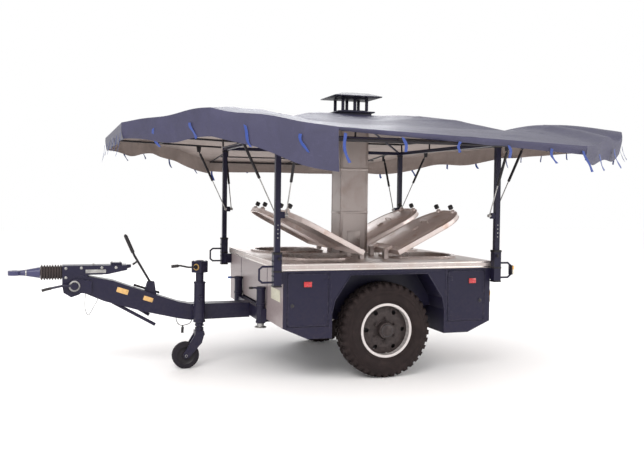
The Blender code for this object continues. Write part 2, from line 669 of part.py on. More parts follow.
# ---- canopy ----
def build_canopy_frame(navy):
    """Four corner posts in their sleeves, the top frame, rafters, strut brackets and grab hoops."""
    pieces = []
    rail_z = FRAME_TOP - RAIL_HALF
    for end, way, x in (("front", -1, POST_FRONT), ("rear", 1, POST_REAR)):
        pieces.append(box((x - RAIL_HALF, -POST_SIDE, rail_z - RAIL_HALF), (x + RAIL_HALF, POST_SIDE, FRAME_TOP)))
        for side, sign in SIDES:
            y = sign * POST_SIDE
            post_top = FRAME_TOP - 0.010
            pieces.append(box(
                (x - POST_HALF, y - POST_HALF, SLEEVE_HIGH - 0.05), (x + POST_HALF, y + POST_HALF, post_top)))
            pieces.append(box(
                (x - SLEEVE_HALF, y - SLEEVE_HALF, SLEEVE_LOW), (x + SLEEVE_HALF, y + SLEEVE_HALF, SLEEVE_HIGH)))
            wall = BODY_FRONT - GAP if way < 0 else BODY_REAR + GAP
            reach = sorted((wall, x))
            deep = sorted((sign * (BODY_SIDE - 0.05), y))
            pieces.append(box((reach[0], deep[0], SLEEVE_LOW + 0.02), (reach[1], deep[1], 1.090)))
            hoop_x = x + way * 0.170
            hoop = [
                (x + way * 0.02, y, 1.150), (hoop_x - way * 0.03, y, 1.150), (hoop_x, y, 1.125),
                (hoop_x, y, 1.025), (hoop_x - way * 0.03, y, 1.000), (x + way * 0.02, y, 1.000),
            ]
            pieces.append(bent_bar(hoop, 0.010, 8))
            base_z = FRAME_TOP - STRUT_BASE_DROP
            end_y = sign * END_STRUT_SIDE
            pad = sorted((end_y + sign * (STRUT_FOOT + PIN_GAP), y))
            pieces.append(box((x - 0.020, pad[0], base_z - 0.03), (x + 0.020, pad[1], base_z + 0.03)))
            side_x = x - way * SIDE_STRUT_IN
            pad = sorted((side_x + way * (STRUT_FOOT + PIN_GAP), x))
            pieces.append(box((pad[0], y - 0.020, base_z - 0.03), (pad[1], y + 0.020, base_z + 0.03)))
    for side, sign in SIDES:
        y = sign * POST_SIDE
        pieces.append(box((POST_FRONT, y - RAIL_HALF, rail_z - RAIL_HALF), (POST_REAR, y + RAIL_HALF, FRAME_TOP)))
        for x in (POST_FRONT, POST_REAR):
            end = 1 if x > 0 else -1
            start = (x, y, rail_z - 0.005)
            tip = (end * ROOF_RING, sign * ROOF_RING, roof_height(0) - 0.030)
            pieces.append(rod(start, tip, 0.012, 8))
    for name, way, along, start, run, rise, lip, low, high, struts in flap_table():
        line = way * start
        inside = way * (start - HINGE_OUT)
        ends = [(low, line, hinge_z()), (high, line, hinge_z())]
        if along == "Y":
            ends = [(line, low, hinge_z()), (line, high, hinge_z())]
        pieces.append(rod(*ends, HINGE_ROD, 12))
        for i in range(LUG_COUNT_FLAP):
            spot = low + (high - low) * (i + 0.5) / LUG_COUNT_FLAP
            reach = sorted((inside, line))
            corners = [(reach[i], spot - 0.02 + 0.04 * i, hinge_z() - 0.005 + 0.010 * i) for i in range(2)]
            if along == "X":
                corners = [(b, a, c) for a, b, c in corners]
            pieces.append(box(*corners))
    hoop_z = roof_height(0) - 0.030
    square = ((-1, -1), (1, -1), (1, 1), (-1, 1))
    for i in range(4):
        a = square[i]
        b = square[(i + 1) % 4]
        start = (a[0] * ROOF_RING, a[1] * ROOF_RING, hoop_z)
        end = (b[0] * ROOF_RING, b[1] * ROOF_RING, hoop_z)
        pieces.append(rod(start, end, 0.012, 8))
    node("canopy_frame", navy, pieces)


def roof_height(share):
    """Height of the roof sheet's underside, from its ring (0) to its outer edge (1)."""
    return ROOF_PEAK - CLOTH + share * (FRAME_TOP - 0.0036 - ROOF_PEAK + CLOTH)


def build_roof(tarp):
    """The fixed middle of the canopy: a hipped sheet from the top frame up to the flue."""
    shape = bmesh.new()
    rings = []
    out = HINGE_OUT - 0.010
    corner_in = ROOF_RING
    outer = [
        (POST_FRONT - out, -POST_SIDE - out), (POST_REAR + out, -POST_SIDE - out),
        (POST_REAR + out, POST_SIDE + out), (POST_FRONT - out, POST_SIDE + out),
    ]
    inner = [(-corner_in, -corner_in), (corner_in, -corner_in), (corner_in, corner_in), (-corner_in, corner_in)]
    for points, height in (
        (outer, roof_height(1)), (inner, roof_height(0)), (inner, roof_height(0) + CLOTH), (outer, roof_height(1) + CLOTH),
    ):
        rings.append([shape.verts.new((x, y, height)) for x, y in points])
    for a, b in zip(rings, rings[1:] + rings[:1]):
        for i in range(4):
            j = (i + 1) % 4
            shape.faces.new((a[i], a[j], b[j], b[i]))
    node("canopy_roof", tarp, [outward(shape)])


def flap_profile(run, rise, lip):
    """Section of a flap from its hinge line: a thin sheet with its hem hanging at the outer edge."""
    half = FLAP_THICK / 2
    start = HINGE_ROD + PIN_GAP
    return [
        (start, half), (run, rise + half), (run, rise - lip), (run - 0.014, rise - lip),
        (run - 0.014, rise - half), (start, -half),
    ]


def hinge_z():
    """Height of every flap's hinge line."""
    return FRAME_TOP - 0.012


def strut_head(run, rise):
    """The rod pin of a gas strut on a flap, from that flap's hinge line."""
    return STRUT_REACH, STRUT_REACH * rise / run - STRUT_LOW


def build_flap(name, tarp, way, along, start, run, rise, lip, low, high, strut_sides):
    """One canopy flap, raised, with the two brackets that its gas struts carry."""
    z = hinge_z()
    section = [(way * (start + u), z + w) for u, w in flap_profile(run, rise, lip)]
    pieces = [prism(section, along, low, high)]
    u, w = strut_head(run, rise)
    for side in strut_sides:
        inner = -1 if side > 0 else 1
        near = side + inner * (STRUT_EYE + PIN_GAP)
        far = near + inner * 0.012
        tab = [(way * (start + u - 0.020), z + w - 0.020), (way * (start + u + 0.020), z + w - 0.020),
               (way * (start + u + 0.030), z + w + STRUT_LOW), (way * (start + u - 0.030), z + w + STRUT_LOW)]
        pieces.append(prism(tab, along, min(near, far), max(near, far)))
    origin = (way * start, (low + high) / 2, z) if along == "Y" else ((low + high) / 2, way * start, z)
    node(name, tarp, pieces, origin=origin)


def flap_table():
    """Name, direction, axis, hinge place, run, rise, hem, edges and strut places of each flap."""
    start_side = POST_SIDE + HINGE_OUT
    start_front = -POST_FRONT + HINGE_OUT
    start_rear = POST_REAR + HINGE_OUT
    side_struts = (POST_FRONT + SIDE_STRUT_IN, POST_REAR - SIDE_STRUT_IN)
    end_struts = (-END_STRUT_SIDE, END_STRUT_SIDE)
    side_run = SIDE_FLAP_REACH - start_side
    return (
        ("flap_left", -1, "X", start_side, side_run, SIDE_FLAP_DROP, FLAP_LIP, SIDE_FLAP_FRONT, SIDE_FLAP_REAR, side_struts),
        ("flap_right", 1, "X", start_side, side_run, SIDE_FLAP_DROP, FLAP_LIP, SIDE_FLAP_FRONT, SIDE_FLAP_REAR, side_struts),
        ("flap_front", -1, "Y", start_front, FRONT_FLAP_REACH - start_front, FRONT_FLAP_RISE, END_LIP,
         -END_FLAP_SIDE, END_FLAP_SIDE, end_struts),
        ("flap_rear", 1, "Y", start_rear, REAR_REACH - start_rear, REAR_FLAP_RISE, END_LIP,
         -END_FLAP_SIDE, END_FLAP_SIDE, end_struts),
    )


def build_flaps(tarp):
    """The four raised flaps."""
    for name, way, along, start, run, rise, lip, low, high, struts in flap_table():
        build_flap(name, tarp, way, along, start, run, rise, lip, low, high, struts)


def build_struts(black, steel):
    """Eight gas struts: a rod that stands on its post and a cylinder that carries its flap."""
    base_z = FRAME_TOP - STRUT_BASE_DROP
    for name, way, along, start, run, rise, lip, low, high, struts in flap_table():
        out, up = strut_head(run, rise)
        post_line = POST_SIDE if along == "X" else start - HINGE_OUT
        for index, place in enumerate(struts):
            base = Vector((place, way * post_line, base_z))
            head = Vector((place, way * (start + out), hinge_z() + up))
            pin = Vector((1, 0, 0))
            if along == "Y":
                base, head, pin = base.yxz, head.yxz, pin.yxz
            way_up = (head - base).normalized()
            mouth = head - way_up * STRUT_BODY
            tail = name.replace("flap_", "") + "_" + str(index + 1)
            foot = rod(base - pin * STRUT_FOOT, base + pin * STRUT_FOOT, STRUT_FOOT, 12)
            bar = rod(base, mouth + way_up * STRUT_OVERLAP, ROD_RADIUS, 12)
            node("strut_rod_" + tail, steel, [foot, bar], origin=base)
            barrel = rod(mouth, head - way_up * STRUT_NECK, STRUT_RADIUS, 12)
            neck = rod(head - way_up * (STRUT_NECK + 0.003), head, 0.008, 12)
            eye = rod(head - pin * STRUT_EYE, head + pin * STRUT_EYE, 0.012, 12)
            bore = rod(mouth - way_up * 0.1, head - way_up * STRUT_CROWN, ROD_RADIUS + RUN, 12)
            node("strut_body_" + tail, black, [barrel, neck, eye], cuts=[bore], origin=head)


# ---- towing gear ----
def build_drawbar(navy):
    """The cranked drawbar arm with its joint cheeks, lever foot, rods beneath and the jockey sleeve."""
    outline = [
        (-2.975, 0.935), (-2.905, 0.985), (-2.588, 0.923), (-2.342, 0.833), (-2.115, 0.754), (-1.918, 0.686),
        (ARM_KNEE_X, 0.661), (FRAME_FACE - GAP, 0.661), (FRAME_FACE - GAP, FRAME_LOW + 0.004), (ARM_KNEE_X, 0.493),
        (-1.927, 0.515), (-2.288, 0.599), (-2.678, 0.716), (-2.877, 0.805), (-3.000, 0.830),
    ]
    arm = prism(outline, "Y", -ARM_HALF, ARM_HALF)
    cheek_out = ARM_HALF + JOINT_THICK
    discs = []
    for sign in (-1, 1):
        discs.append(rod((JOINT_X, sign * (ARM_HALF - 0.002), JOINT_Z), (JOINT_X, sign * cheek_out, JOINT_Z), 0.060, 20))
        ear = [(-2.80, 0.80), (-2.97, 0.81), (-3.02, 0.88), (-2.97, 0.95), (-2.80, 0.93)]
        span = sorted((sign * (ARM_HALF - 0.012), sign * cheek_out))
        discs.append(prism(ear, "Y", *span))
    slot = box((-3.2, -HEAD_HALF - PIN_GAP, 0.6), (-2.825, HEAD_HALF + PIN_GAP, 1.2))
    top_room = box((-3.2, -ARM_HALF - 0.5, 0.985), (-2.60, ARM_HALF + 0.5, 1.4))
    bore = rod((JOINT_X, -0.4, JOINT_Z), (JOINT_X, 0.4, JOINT_Z), 0.016 + RUN, 14)
    sleeve_low = 0.480
    sleeve_high = 0.905
    post = (JOCKEY_X, JOCKEY_Y)
    sleeve = rod((*post, sleeve_low), (*post, sleeve_high), JOCKEY_SLEEVE, 20)
    saddle = box((JOCKEY_X - 0.06, JOCKEY_Y, 0.510), (JOCKEY_X + 0.06, -ARM_HALF + 0.01, 0.650))
    sleeve_bore = rod((*post, 0.2), (*post, 1.2), JOCKEY_TUBE + GAP, 20)
    foot_plate = [(LEVER_X - 0.075, 0.770), (LEVER_X - 0.035, LEVER_Z + 0.020), (LEVER_X + 0.035, LEVER_Z + 0.020),
                  (LEVER_X + 0.060, 0.730)]
    cheeks = [
        prism(foot_plate, "Y", -0.034, -0.018),
        prism(foot_plate, "Y", 0.018, 0.034),
        rod((LEVER_X, -0.030, LEVER_Z), (LEVER_X, 0.030, LEVER_Z), 0.008, 12),
    ]
    rods = [
        rod((-2.594, -0.045, 0.700), (-2.159, -0.045, 0.452), 0.017, 12),
        rod((-2.450, 0.045, 0.690), (-2.211, 0.045, 0.543), 0.017, 12),
    ]
    node(
        "drawbar_arm", navy, [arm] + discs + [sleeve, saddle], cuts=[slot, top_room, bore, sleeve_bore],
        extra=cheeks + rods, origin=(BODY_FRONT, 0, FRAME_LOW),
    )


def build_coupling(navy, steel, rubber, black):
    """The overrun head on its toothed joint, the towing shaft, its bellows, and the clamp handle."""
    outline = [
        (HEAD_FRONT, HEAD_TOP), (HEAD_REAR, HEAD_TOP), (HEAD_REAR, HEAD_TOP - 0.050), (-2.640, 0.990),
        (-2.830, 0.988), (-2.875, 0.930), (-2.860, 0.860), (JOINT_X + 0.050, 0.790), (JOINT_X - 0.030, 0.762),
        (JOINT_X - 0.105, 0.810), (HEAD_FRONT, JOINT_Z),
    ]
    housing = prism(outline, "Y", -HEAD_HALF, HEAD_HALF)
    shaft_bore = rod((HEAD_FRONT - 0.1, 0, SHAFT_Z), (-2.60, 0, SHAFT_Z), SHAFT_RADIUS + RUN, 20)
    bolt_bore = rod((JOINT_X, -0.4, JOINT_Z), (JOINT_X, 0.4, JOINT_Z), 0.016 + RUN, 14)
    ear = prism([(HEAD_REAR - 0.03, 1.030), (HEAD_REAR + 0.045, 1.050), (HEAD_REAR + 0.045, 1.080),
                 (HEAD_REAR - 0.03, HEAD_TOP)], "Y", -0.008, 0.008)
    cover = box((HEAD_REAR - 0.16, -0.05, HEAD_TOP - 0.005), (HEAD_REAR - 0.05, 0.05, HEAD_TOP + 0.022))
    node("coupling_head", navy, [housing], cuts=[shaft_bore, bolt_bore], extra=[ear, cover],
         origin=(JOINT_X, 0, JOINT_Z))

    eye_centre = (-EYE_REACH + 0.062, 0, SHAFT_Z)
    eye = turned([(0.026, -0.022), (0.062, -0.022), (0.062, 0.022), (0.026, 0.022)], eye_centre, (0, 0, 1), 28, True)
    neck = rod((eye_centre[0] + 0.050, 0, SHAFT_Z), (-3.440, 0, SHAFT_Z), 0.026, 20, 0.030)
    cone = rod((-3.442, 0, SHAFT_Z), (BELLOWS_FRONT - 0.002, 0, SHAFT_Z), 0.030, 20, 0.056)
    shaft = rod((BELLOWS_FRONT - 0.004, 0, SHAFT_Z), (-2.600 - SHAFT_TRAVEL - 0.01, 0, SHAFT_Z), SHAFT_RADIUS, 20)
    node("tow_shaft", steel, [cone, neck, eye, shaft], origin=(BELLOWS_FRONT, 0, SHAFT_Z))

    length = HEAD_FRONT - BELLOWS_FRONT - 2 * GAP
    step = length / BELLOWS_RINGS
    inner = SHAFT_RADIUS + 0.003
    profile = []
    for i in range(BELLOWS_RINGS):
        profile.append((BELLOWS_RADIUS - 0.018, i * step))
        profile.append((BELLOWS_RADIUS, (i + 0.5) * step))
    profile.append((BELLOWS_RADIUS - 0.018, length))
    profile.append((inner, length))
    profile.append((inner, 0.0))
    start = (BELLOWS_FRONT + GAP, 0, SHAFT_Z)
    node("shaft_bellows", rubber, [turned(profile, start, (1, 0, 0), 16, closed=True)], origin=start)

    cheek = ARM_HALF + JOINT_THICK
    bolt = rod((JOINT_X, -cheek - 0.030, JOINT_Z), (JOINT_X, cheek + 0.030, JOINT_Z), 0.016, 14)
    nut = rod((JOINT_X, cheek + GAP, JOINT_Z), (JOINT_X, cheek + 0.024, JOINT_Z), 0.026, 6)
    boss = rod((JOINT_X, -cheek - GAP, JOINT_Z), (JOINT_X, -cheek - 0.040, JOINT_Z), 0.034, 16)
    grip = bent_bar([
        (JOINT_X, -cheek - 0.025, JOINT_Z), (JOINT_X - 0.10, -cheek - 0.025, JOINT_Z + 0.012),
        (JOINT_X - 0.22, -cheek - 0.025, JOINT_Z - 0.012), (JOINT_X - 0.31, -cheek - 0.025, JOINT_Z - 0.035),
    ], 0.012, 8)
    node("joint_handle", black, [bolt, nut, boss, grip], origin=(JOINT_X, 0, JOINT_Z))


def build_brake_lever(black):
    """The parking-brake lever with its grip, link eye and pivot."""
    hub = rod((LEVER_X, -0.018 + PIN_GAP, LEVER_Z), (LEVER_X, 0.018 - PIN_GAP, LEVER_Z), 0.026, 16)
    neck = (LEVER_NECK[0], 0, LEVER_NECK[1])
    top = (LEVER_GRIP[0], 0, LEVER_GRIP[1])
    stem = bent_bar([(LEVER_X, 0, LEVER_Z), neck, Vector(neck).lerp(Vector(top), 0.5)], 0.012, 8)
    grip = rod(Vector(neck).lerp(Vector(top), 0.15), top, 0.018, 12)
    eye_spot = Vector((LEVER_X, 0, LEVER_Z)).lerp(Vector(neck), 0.80)
    link = bent_bar([eye_spot, (HEAD_REAR + 0.062, 0, 1.078)], 0.010, 8)
    bore = rod((LEVER_X, -0.1, LEVER_Z), (LEVER_X, 0.1, LEVER_Z), 0.008 + RUN, 12)
    node("brake_lever", black, [hub, stem, grip, link], cuts=[bore], origin=(LEVER_X, 0, LEVER_Z))


def build_jockey(navy, rubber, steel, black):
    """The jockey wheel: tube with gear box, inner leg, swivel fork, wheel and crank."""
    post = (JOCKEY_X, JOCKEY_Y)
    tube = rod((*post, 0.440), (*post, GEAR_LOW + 0.005), JOCKEY_TUBE, 20)
    gear = box((-0.060, -0.060, GEAR_LOW), (0.060, 0.060, GEAR_HIGH))
    bmesh.ops.rotate(gear, verts=gear.verts, cent=(0, 0, 0), matrix=Matrix.Rotation(CRANK_TURN, 3, "Z"))
    bmesh.ops.translate(gear, verts=gear.verts, vec=(*post, 0))
    bore = rod((*post, 0.2), (*post, GEAR_LOW - 0.020), JOCKEY_LEG + RUN, 20)
    out = Vector((-math.cos(CRANK_TURN), -math.sin(CRANK_TURN), 0))
    axis_z = (GEAR_LOW + GEAR_HIGH) / 2
    face = Vector((*post, axis_z)) + out * 0.060
    shaft_bore = rod(face - out * 0.030, face + out * 0.05, 0.010 + RUN, 14)
    node("jockey_tube", navy, [tube, gear], cuts=[bore, shaft_bore], origin=(*post, axis_z))

    leg_top = GEAR_LOW - 0.020 - JOCKEY_RISE - 0.015
    leg = rod((*post, 0.425), (*post, leg_top), JOCKEY_LEG, 20)
    cup = rod((*post, 0.395), (*post, 0.4255), 0.045, 20)
    pivot_bore = rod((*post, 0.2), (*post, 0.470), 0.014 + RUN, 14)
    node("jockey_leg", steel, [leg, cup], cuts=[pivot_bore], origin=(*post, 0.395))

    wheel = Vector((JOCKEY_WHEEL_X, JOCKEY_Y, JOCKEY_WHEEL_RADIUS))
    pin = rod((*post, 0.360), (*post, 0.460), 0.014, 14)
    crown = prism([
        (JOCKEY_X - 0.050, 0.330), (JOCKEY_X + 0.035, 0.330), (JOCKEY_X + 0.050, 0.360), (JOCKEY_X + 0.040, 0.395 - RUN),
        (JOCKEY_X - 0.050, 0.395 - RUN),
    ], "Y", JOCKEY_Y - 0.062, JOCKEY_Y + 0.062)
    arms = []
    for sign in (-1, 1):
        arm = [
            (JOCKEY_X - 0.050, 0.360), (JOCKEY_X + 0.045, 0.360), (JOCKEY_X + 0.020, 0.270),
            (wheel.x + 0.030, wheel.z - 0.020), (wheel.x - 0.010, wheel.z - 0.030), (wheel.x - 0.032, wheel.z + 0.010),
        ]
        span = sorted((JOCKEY_Y + sign * (JOCKEY_WHEEL_HALF + SWING), JOCKEY_Y + sign * 0.062))
        arms.append(prism(arm, "Y", *span))
    axle = rod(wheel - Vector((0, 0.070, 0)), wheel + Vector((0, 0.070, 0)), 0.010, 12)
    room = rod(wheel - Vector((0, JOCKEY_WHEEL_HALF + SWING, 0)), wheel + Vector((0, JOCKEY_WHEEL_HALF + SWING, 0)),
               JOCKEY_WHEEL_RADIUS + 0.006, 36)
    node("jockey_fork", navy, [crown] + arms, cuts=[room], extra=[pin, axle], origin=(*post, 0.395))

    h = JOCKEY_WHEEL_HALF
    r = JOCKEY_WHEEL_RADIUS
    profile = [
        (0.010 + RUN, -h), (0.045, -h), (0.050, -h + 0.008), (0.085, -h + 0.008), (0.092, -h), (r - 0.012, -h + 0.004),
        (r, -h + 0.014), (r, h - 0.014), (r - 0.012, h - 0.004), (0.092, h), (0.085, h - 0.008), (0.050, h - 0.008),
        (0.045, h), (0.010 + RUN, h),
    ]
    node("jockey_wheel", rubber, [turned(profile, wheel, (0, 1, 0), 24, closed=True)], origin=wheel)

    stub = rod(face - out * 0.024, face + out * 0.030, 0.010, 14)
    collar = rod(face + out * RUN, face + out * 0.014, 0.022, 16)
    arm_start = face + out * 0.022
    bar = bent_bar([
        arm_start, arm_start + Vector((-0.070, 0.010, 0.000)), arm_start + Vector((-0.150, 0.030, 0.016)),
        arm_start + Vector((-0.225, 0.040, 0.008)),
    ], 0.009, 8)
    hold = rod(arm_start + Vector((-0.165, 0.032, 0.0144)), arm_start + Vector((-0.240, 0.042, 0.0064)), 0.014, 12)
    node("jockey_crank", black, [stub, collar, bar, hold], origin=face)


# ---- cables ----
def smooth_route(points, spacing):
    """Points at an even spacing along a smooth curve through the given ones."""
    points = [Vector(p) for p in points]
    padded = [points[0] * 2 - points[1]] + points + [points[-1] * 2 - points[-2]]
    fine = []
    for a, b, c, d in zip(padded, padded[1:], padded[2:], padded[3:]):
        for i in range(40):
            t = i / 40
            fine.append(0.5 * (2 * b + (c - a) * t + (2 * a - 5 * b + 4 * c - d) * t * t
                               + (3 * b - 3 * c + d - a) * t * t * t))
    fine.append(points[-1])
    length = sum((q - p).length for p, q in zip(fine, fine[1:]))
    count = max(4, round(length / spacing))
    route = [fine[0]]
    walked = 0.0
    for p, q in zip(fine, fine[1:]):
        step = (q - p).length
        while len(route) < count and walked + step >= length * len(route) / count:
            share = (length * len(route) / count - walked) / step
            route.append(p.lerp(q, share))
        walked += step
    return route + [points[-1]]


def build_cable(name, material, points, diameter):
    """A cable as a round tube along its route."""
    route = smooth_route(points, 2.5 * diameter)
    curve = bpy.data.curves.new(name, "CURVE")
    curve.dimensions = "3D"
    curve.bevel_depth = diameter / 2
    curve.bevel_resolution = 2
    curve.use_fill_caps = True
    spline = curve.splines.new("POLY")
    spline.points.add(len(route) - 1)
    for point, spot in zip(spline.points, route):
        point.co = (*spot, 1.0)
    curve.materials.append(material)
    thing = bpy.data.objects.new(name, curve)
    bpy.context.scene.collection.objects.link(thing)
    thing.parent = bpy.data.objects["trailer"]
    return thing


def build_cables(black):
    """The breakaway cable's loop under the arm, and the lighting lead's loop with its plug."""
    build_cable("brake_cable", black, BRAKE_CABLE_ROUTE, BRAKE_CABLE)
    build_cable("light_lead", black, LEAD_ROUTE, LEAD)
    low = min(smooth_route(LEAD_ROUTE, 2.5 * LEAD), key=lambda spot: spot.z)
    start = low - Vector((0, 0, LEAD / 2 + GAP))
    body = rod(start - Vector((0, 0, 0.012)), start - Vector((0.004, 0, 0.074)), 0.014, 14)
    tail = rod(start, start - Vector((0, 0, 0.020)), 0.007, 12, 0.010)
    node("lead_plug", black, [body, tail], origin=start)


def main():
    """Build every piece."""
    clear_scene()
    trailer = bpy.data.objects.new("trailer", None)
    bpy.context.scene.collection.objects.link(trailer)
    trailer.location = (AXLE_X, 0, 0)
    navy = paint("navy_paint", (0.030, 0.028, 0.075), 0.40)
    stainless = paint("stainless", (0.42, 0.38, 0.36), 0.32, 0.9)
    rubber = paint("rubber", (0.030, 0.024, 0.024), 0.85)
    wheel_paint = paint("wheel_paint", (0.20, 0.18, 0.19), 0.45, 0.2)
    steel = paint("bare_steel", (0.33, 0.32, 0.32), 0.40, 0.8)
    black = paint("black_paint", (0.020, 0.019, 0.024), 0.50)
    tarp = paint("tarpaulin", (0.080, 0.085, 0.145), 0.70)
    build_wheels(rubber, wheel_paint)
    build_axle(steel)
    build_chassis(navy)
    build_steadies(steel)
    build_body(navy)
    build_doors(navy)
    build_worktop(stainless)
    build_kettles(stainless)
    build_lids(stainless)
    build_chimney(stainless, black)
    build_canopy_frame(navy)
    build_roof(tarp)
    build_flaps(tarp)
    build_struts(black, steel)
    build_drawbar(navy)
    build_coupling(navy, steel, rubber, black)
    build_brake_lever(black)
    build_jockey(navy, rubber, steel, black)
    build_cables(black)


main()
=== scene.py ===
"""Looks of the field-kitchen trailer: finishes for its solids, the tarpaulin canopy, and its fittings."""
import math

import bpy
from mathutils import Matrix, Vector, noise


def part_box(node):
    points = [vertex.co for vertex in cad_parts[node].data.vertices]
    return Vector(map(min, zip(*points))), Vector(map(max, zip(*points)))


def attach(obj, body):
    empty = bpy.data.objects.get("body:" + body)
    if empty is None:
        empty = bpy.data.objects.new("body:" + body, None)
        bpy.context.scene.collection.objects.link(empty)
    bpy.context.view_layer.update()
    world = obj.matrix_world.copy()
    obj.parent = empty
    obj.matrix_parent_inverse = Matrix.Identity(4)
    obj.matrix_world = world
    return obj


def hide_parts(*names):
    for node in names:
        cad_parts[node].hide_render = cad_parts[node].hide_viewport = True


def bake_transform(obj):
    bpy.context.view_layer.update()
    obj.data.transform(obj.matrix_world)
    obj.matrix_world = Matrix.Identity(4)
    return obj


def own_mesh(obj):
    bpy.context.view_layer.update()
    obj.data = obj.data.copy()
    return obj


bpy.ops.wm.read_factory_settings(use_empty=True)
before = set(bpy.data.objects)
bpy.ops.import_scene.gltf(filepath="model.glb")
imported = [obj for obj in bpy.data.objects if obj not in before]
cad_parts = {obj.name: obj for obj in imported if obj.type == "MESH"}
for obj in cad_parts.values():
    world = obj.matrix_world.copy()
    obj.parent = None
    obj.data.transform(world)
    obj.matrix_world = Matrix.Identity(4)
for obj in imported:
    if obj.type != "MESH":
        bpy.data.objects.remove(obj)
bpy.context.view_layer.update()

bl_info = {
    "name": "Field kitchen trailer looks",
    "version": (1, 0, 0),
    "blender": (4, 5, 0),
    "location": "View3D > Sidebar > Trailer",
    "description": "Dresses the field kitchen trailer with its finishes, canopy cloth and fittings",
    "category": "Object",
}

# ---- places, from the frame ----
UP = (0, 0, 1)
SIDES = (("left", -1), ("right", 1))
ENDS = (("front", -1), ("rear", 1))
BODY_LOW, BODY_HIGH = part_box("body_tub")
TOP_LOW, TOP_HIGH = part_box("worktop")
TYRE_LOW, TYRE_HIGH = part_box("tyre_left")
DUCT_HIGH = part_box("chimney_duct")[1]
ROOF_LOW, ROOF_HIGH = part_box("canopy_roof")
AXLE = (TYRE_LOW + TYRE_HIGH) / 2
AXLE_X = AXLE.x
AXLE_Y = -AXLE.y
TYRE_RADIUS = (TYRE_HIGH.z - TYRE_LOW.z) / 2
TYRE_HALF = (TYRE_HIGH.y - TYRE_LOW.y) / 2

# ---- places along the trailer, from the axle, in metres ----
BEAD_RADIUS = 0.262          # where a tyre meets its rim
LUG_CIRCLE = 0.115
WORKTOP_Z = 1.1675
KITCHEN_MID = 0.013
KETTLE_OUT = 0.600           # kettle centres from the kitchen's middle
KETTLE_SIDE = 0.490
LID_TILT = math.radians(27)
LID_PIN = (0.135, 0.510, 1.250)
DUCT_HALF_X, DUCT_HALF_Y = 0.160, 0.150
POST_FRONT, POST_REAR, POST_SIDE = -1.175, 1.158, 1.243
STEADY_X, STEADY_SIDE = -1.148, 0.530
JOINT_X, JOINT_Z = -2.967, 0.879
SHAFT_Z = 1.010
HEAD_SIDE = 0.085            # the towing head's cheeks
LEVER_NECK, LEVER_TOP = (-2.370, 0, 1.171), (-2.462, 0, 1.379)
JOCKEY_X, JOCKEY_Y = -1.715, -0.160
ARM_SLOPE = 0.335


# ---- settings a user would change ----
class TrailerPaint(bpy.types.PropertyGroup):
    """Colours of the trailer."""
    navy: bpy.props.FloatVectorProperty(
        name="Body paint", description="Colour of the body, frame and drawbar", subtype="COLOR",
        size=3, min=0, max=1, default=(0.011, 0.0095, 0.030))
    panel: bpy.props.FloatVectorProperty(
        name="Front panel", description="Colour of the body's front face", subtype="COLOR",
        size=3, min=0, max=1, default=(0.285, 0.235, 0.238))
    steel: bpy.props.FloatVectorProperty(
        name="Stainless steel", description="Colour of the kitchen's steel", subtype="COLOR",
        size=3, min=0, max=1, default=(0.60, 0.525, 0.50))
    cloth: bpy.props.FloatVectorProperty(
        name="Canopy top", description="Colour of the tarpaulin's outside", subtype="COLOR",
        size=3, min=0, max=1, default=(0.034, 0.032, 0.074))
    lining: bpy.props.FloatVectorProperty(
        name="Canopy lining", description="Colour of the tarpaulin's inside", subtype="COLOR",
        size=3, min=0, max=1, default=(0.36, 0.30, 0.275))
    strap: bpy.props.FloatVectorProperty(
        name="Straps", description="Colour of the tie straps", subtype="COLOR",
        size=3, min=0, max=1, default=(0.004, 0.030, 0.20))


class TrailerCanopy(bpy.types.PropertyGroup):
    """Shape of the canopy cloth."""
    sag: bpy.props.FloatProperty(
        name="Sag", description="How far the cloth hangs between its tubes", unit="LENGTH",
        min=0, max=0.1, default=0.022)
    crease: bpy.props.FloatProperty(
        name="Creases", description="Height of the cloth's creases", unit="LENGTH",
        min=0, max=0.03, default=0.015)
    thickness: bpy.props.FloatProperty(
        name="Thickness", description="Thickness of the tarpaulin", unit="LENGTH",
        min=0.001, max=0.01, default=0.0025)
    strap_width: bpy.props.FloatProperty(
        name="Strap width", description="Width of a tie strap", unit="LENGTH",
        min=0.01, max=0.06, default=0.026)


class TrailerWheels(bpy.types.PropertyGroup):
    """Tread of the tyres."""
    pitches: bpy.props.IntProperty(
        name="Tread pitches", description="Rows of blocks round a tyre", min=12, max=60, default=38)
    depth: bpy.props.FloatProperty(
        name="Tread depth", description="Height of the tread blocks", unit="LENGTH",
        min=0.004, max=0.03, default=0.017)


# ---- shader maths ----
class Value:
    """A shader socket that takes part in Python expressions."""

    def __init__(self, tree, socket):
        self.tree = tree
        self.socket = socket

    def math(self, operation, *others):
        """One maths node on the given values."""
        node = self.tree.nodes.new("ShaderNodeMath")
        node.operation = operation
        for slot, item in zip(node.inputs, others):
            if isinstance(item, Value):
                self.tree.links.new(item.socket, slot)
            else:
                slot.default_value = item
        return Value(self.tree, node.outputs[0])

    def __add__(self, other):
        return self.math("ADD", self, other)

    def __radd__(self, other):
        return self.math("ADD", other, self)

    def __sub__(self, other):
        return self.math("SUBTRACT", self, other)

    def __rsub__(self, other):
        return self.math("SUBTRACT", other, self)

    def __mul__(self, other):
        return self.math("MULTIPLY", self, other)

    def __rmul__(self, other):
        return self.math("MULTIPLY", other, self)

    def __pow__(self, other):
        return self.math("POWER", self, other)

    def below(self, limit):
        """1 where this is less than the limit."""
        return self.math("LESS_THAN", self, limit)

    def between(self, low, high):
        """0 at low, 1 at high, and straight between."""
        share = (self - low) * (1 / (high - low))
        return share.math("MAXIMUM", share, 0.0).least(1.0)

    def least(self, other):
        """The smaller of two values."""
        return self.math("MINIMUM", self, other)


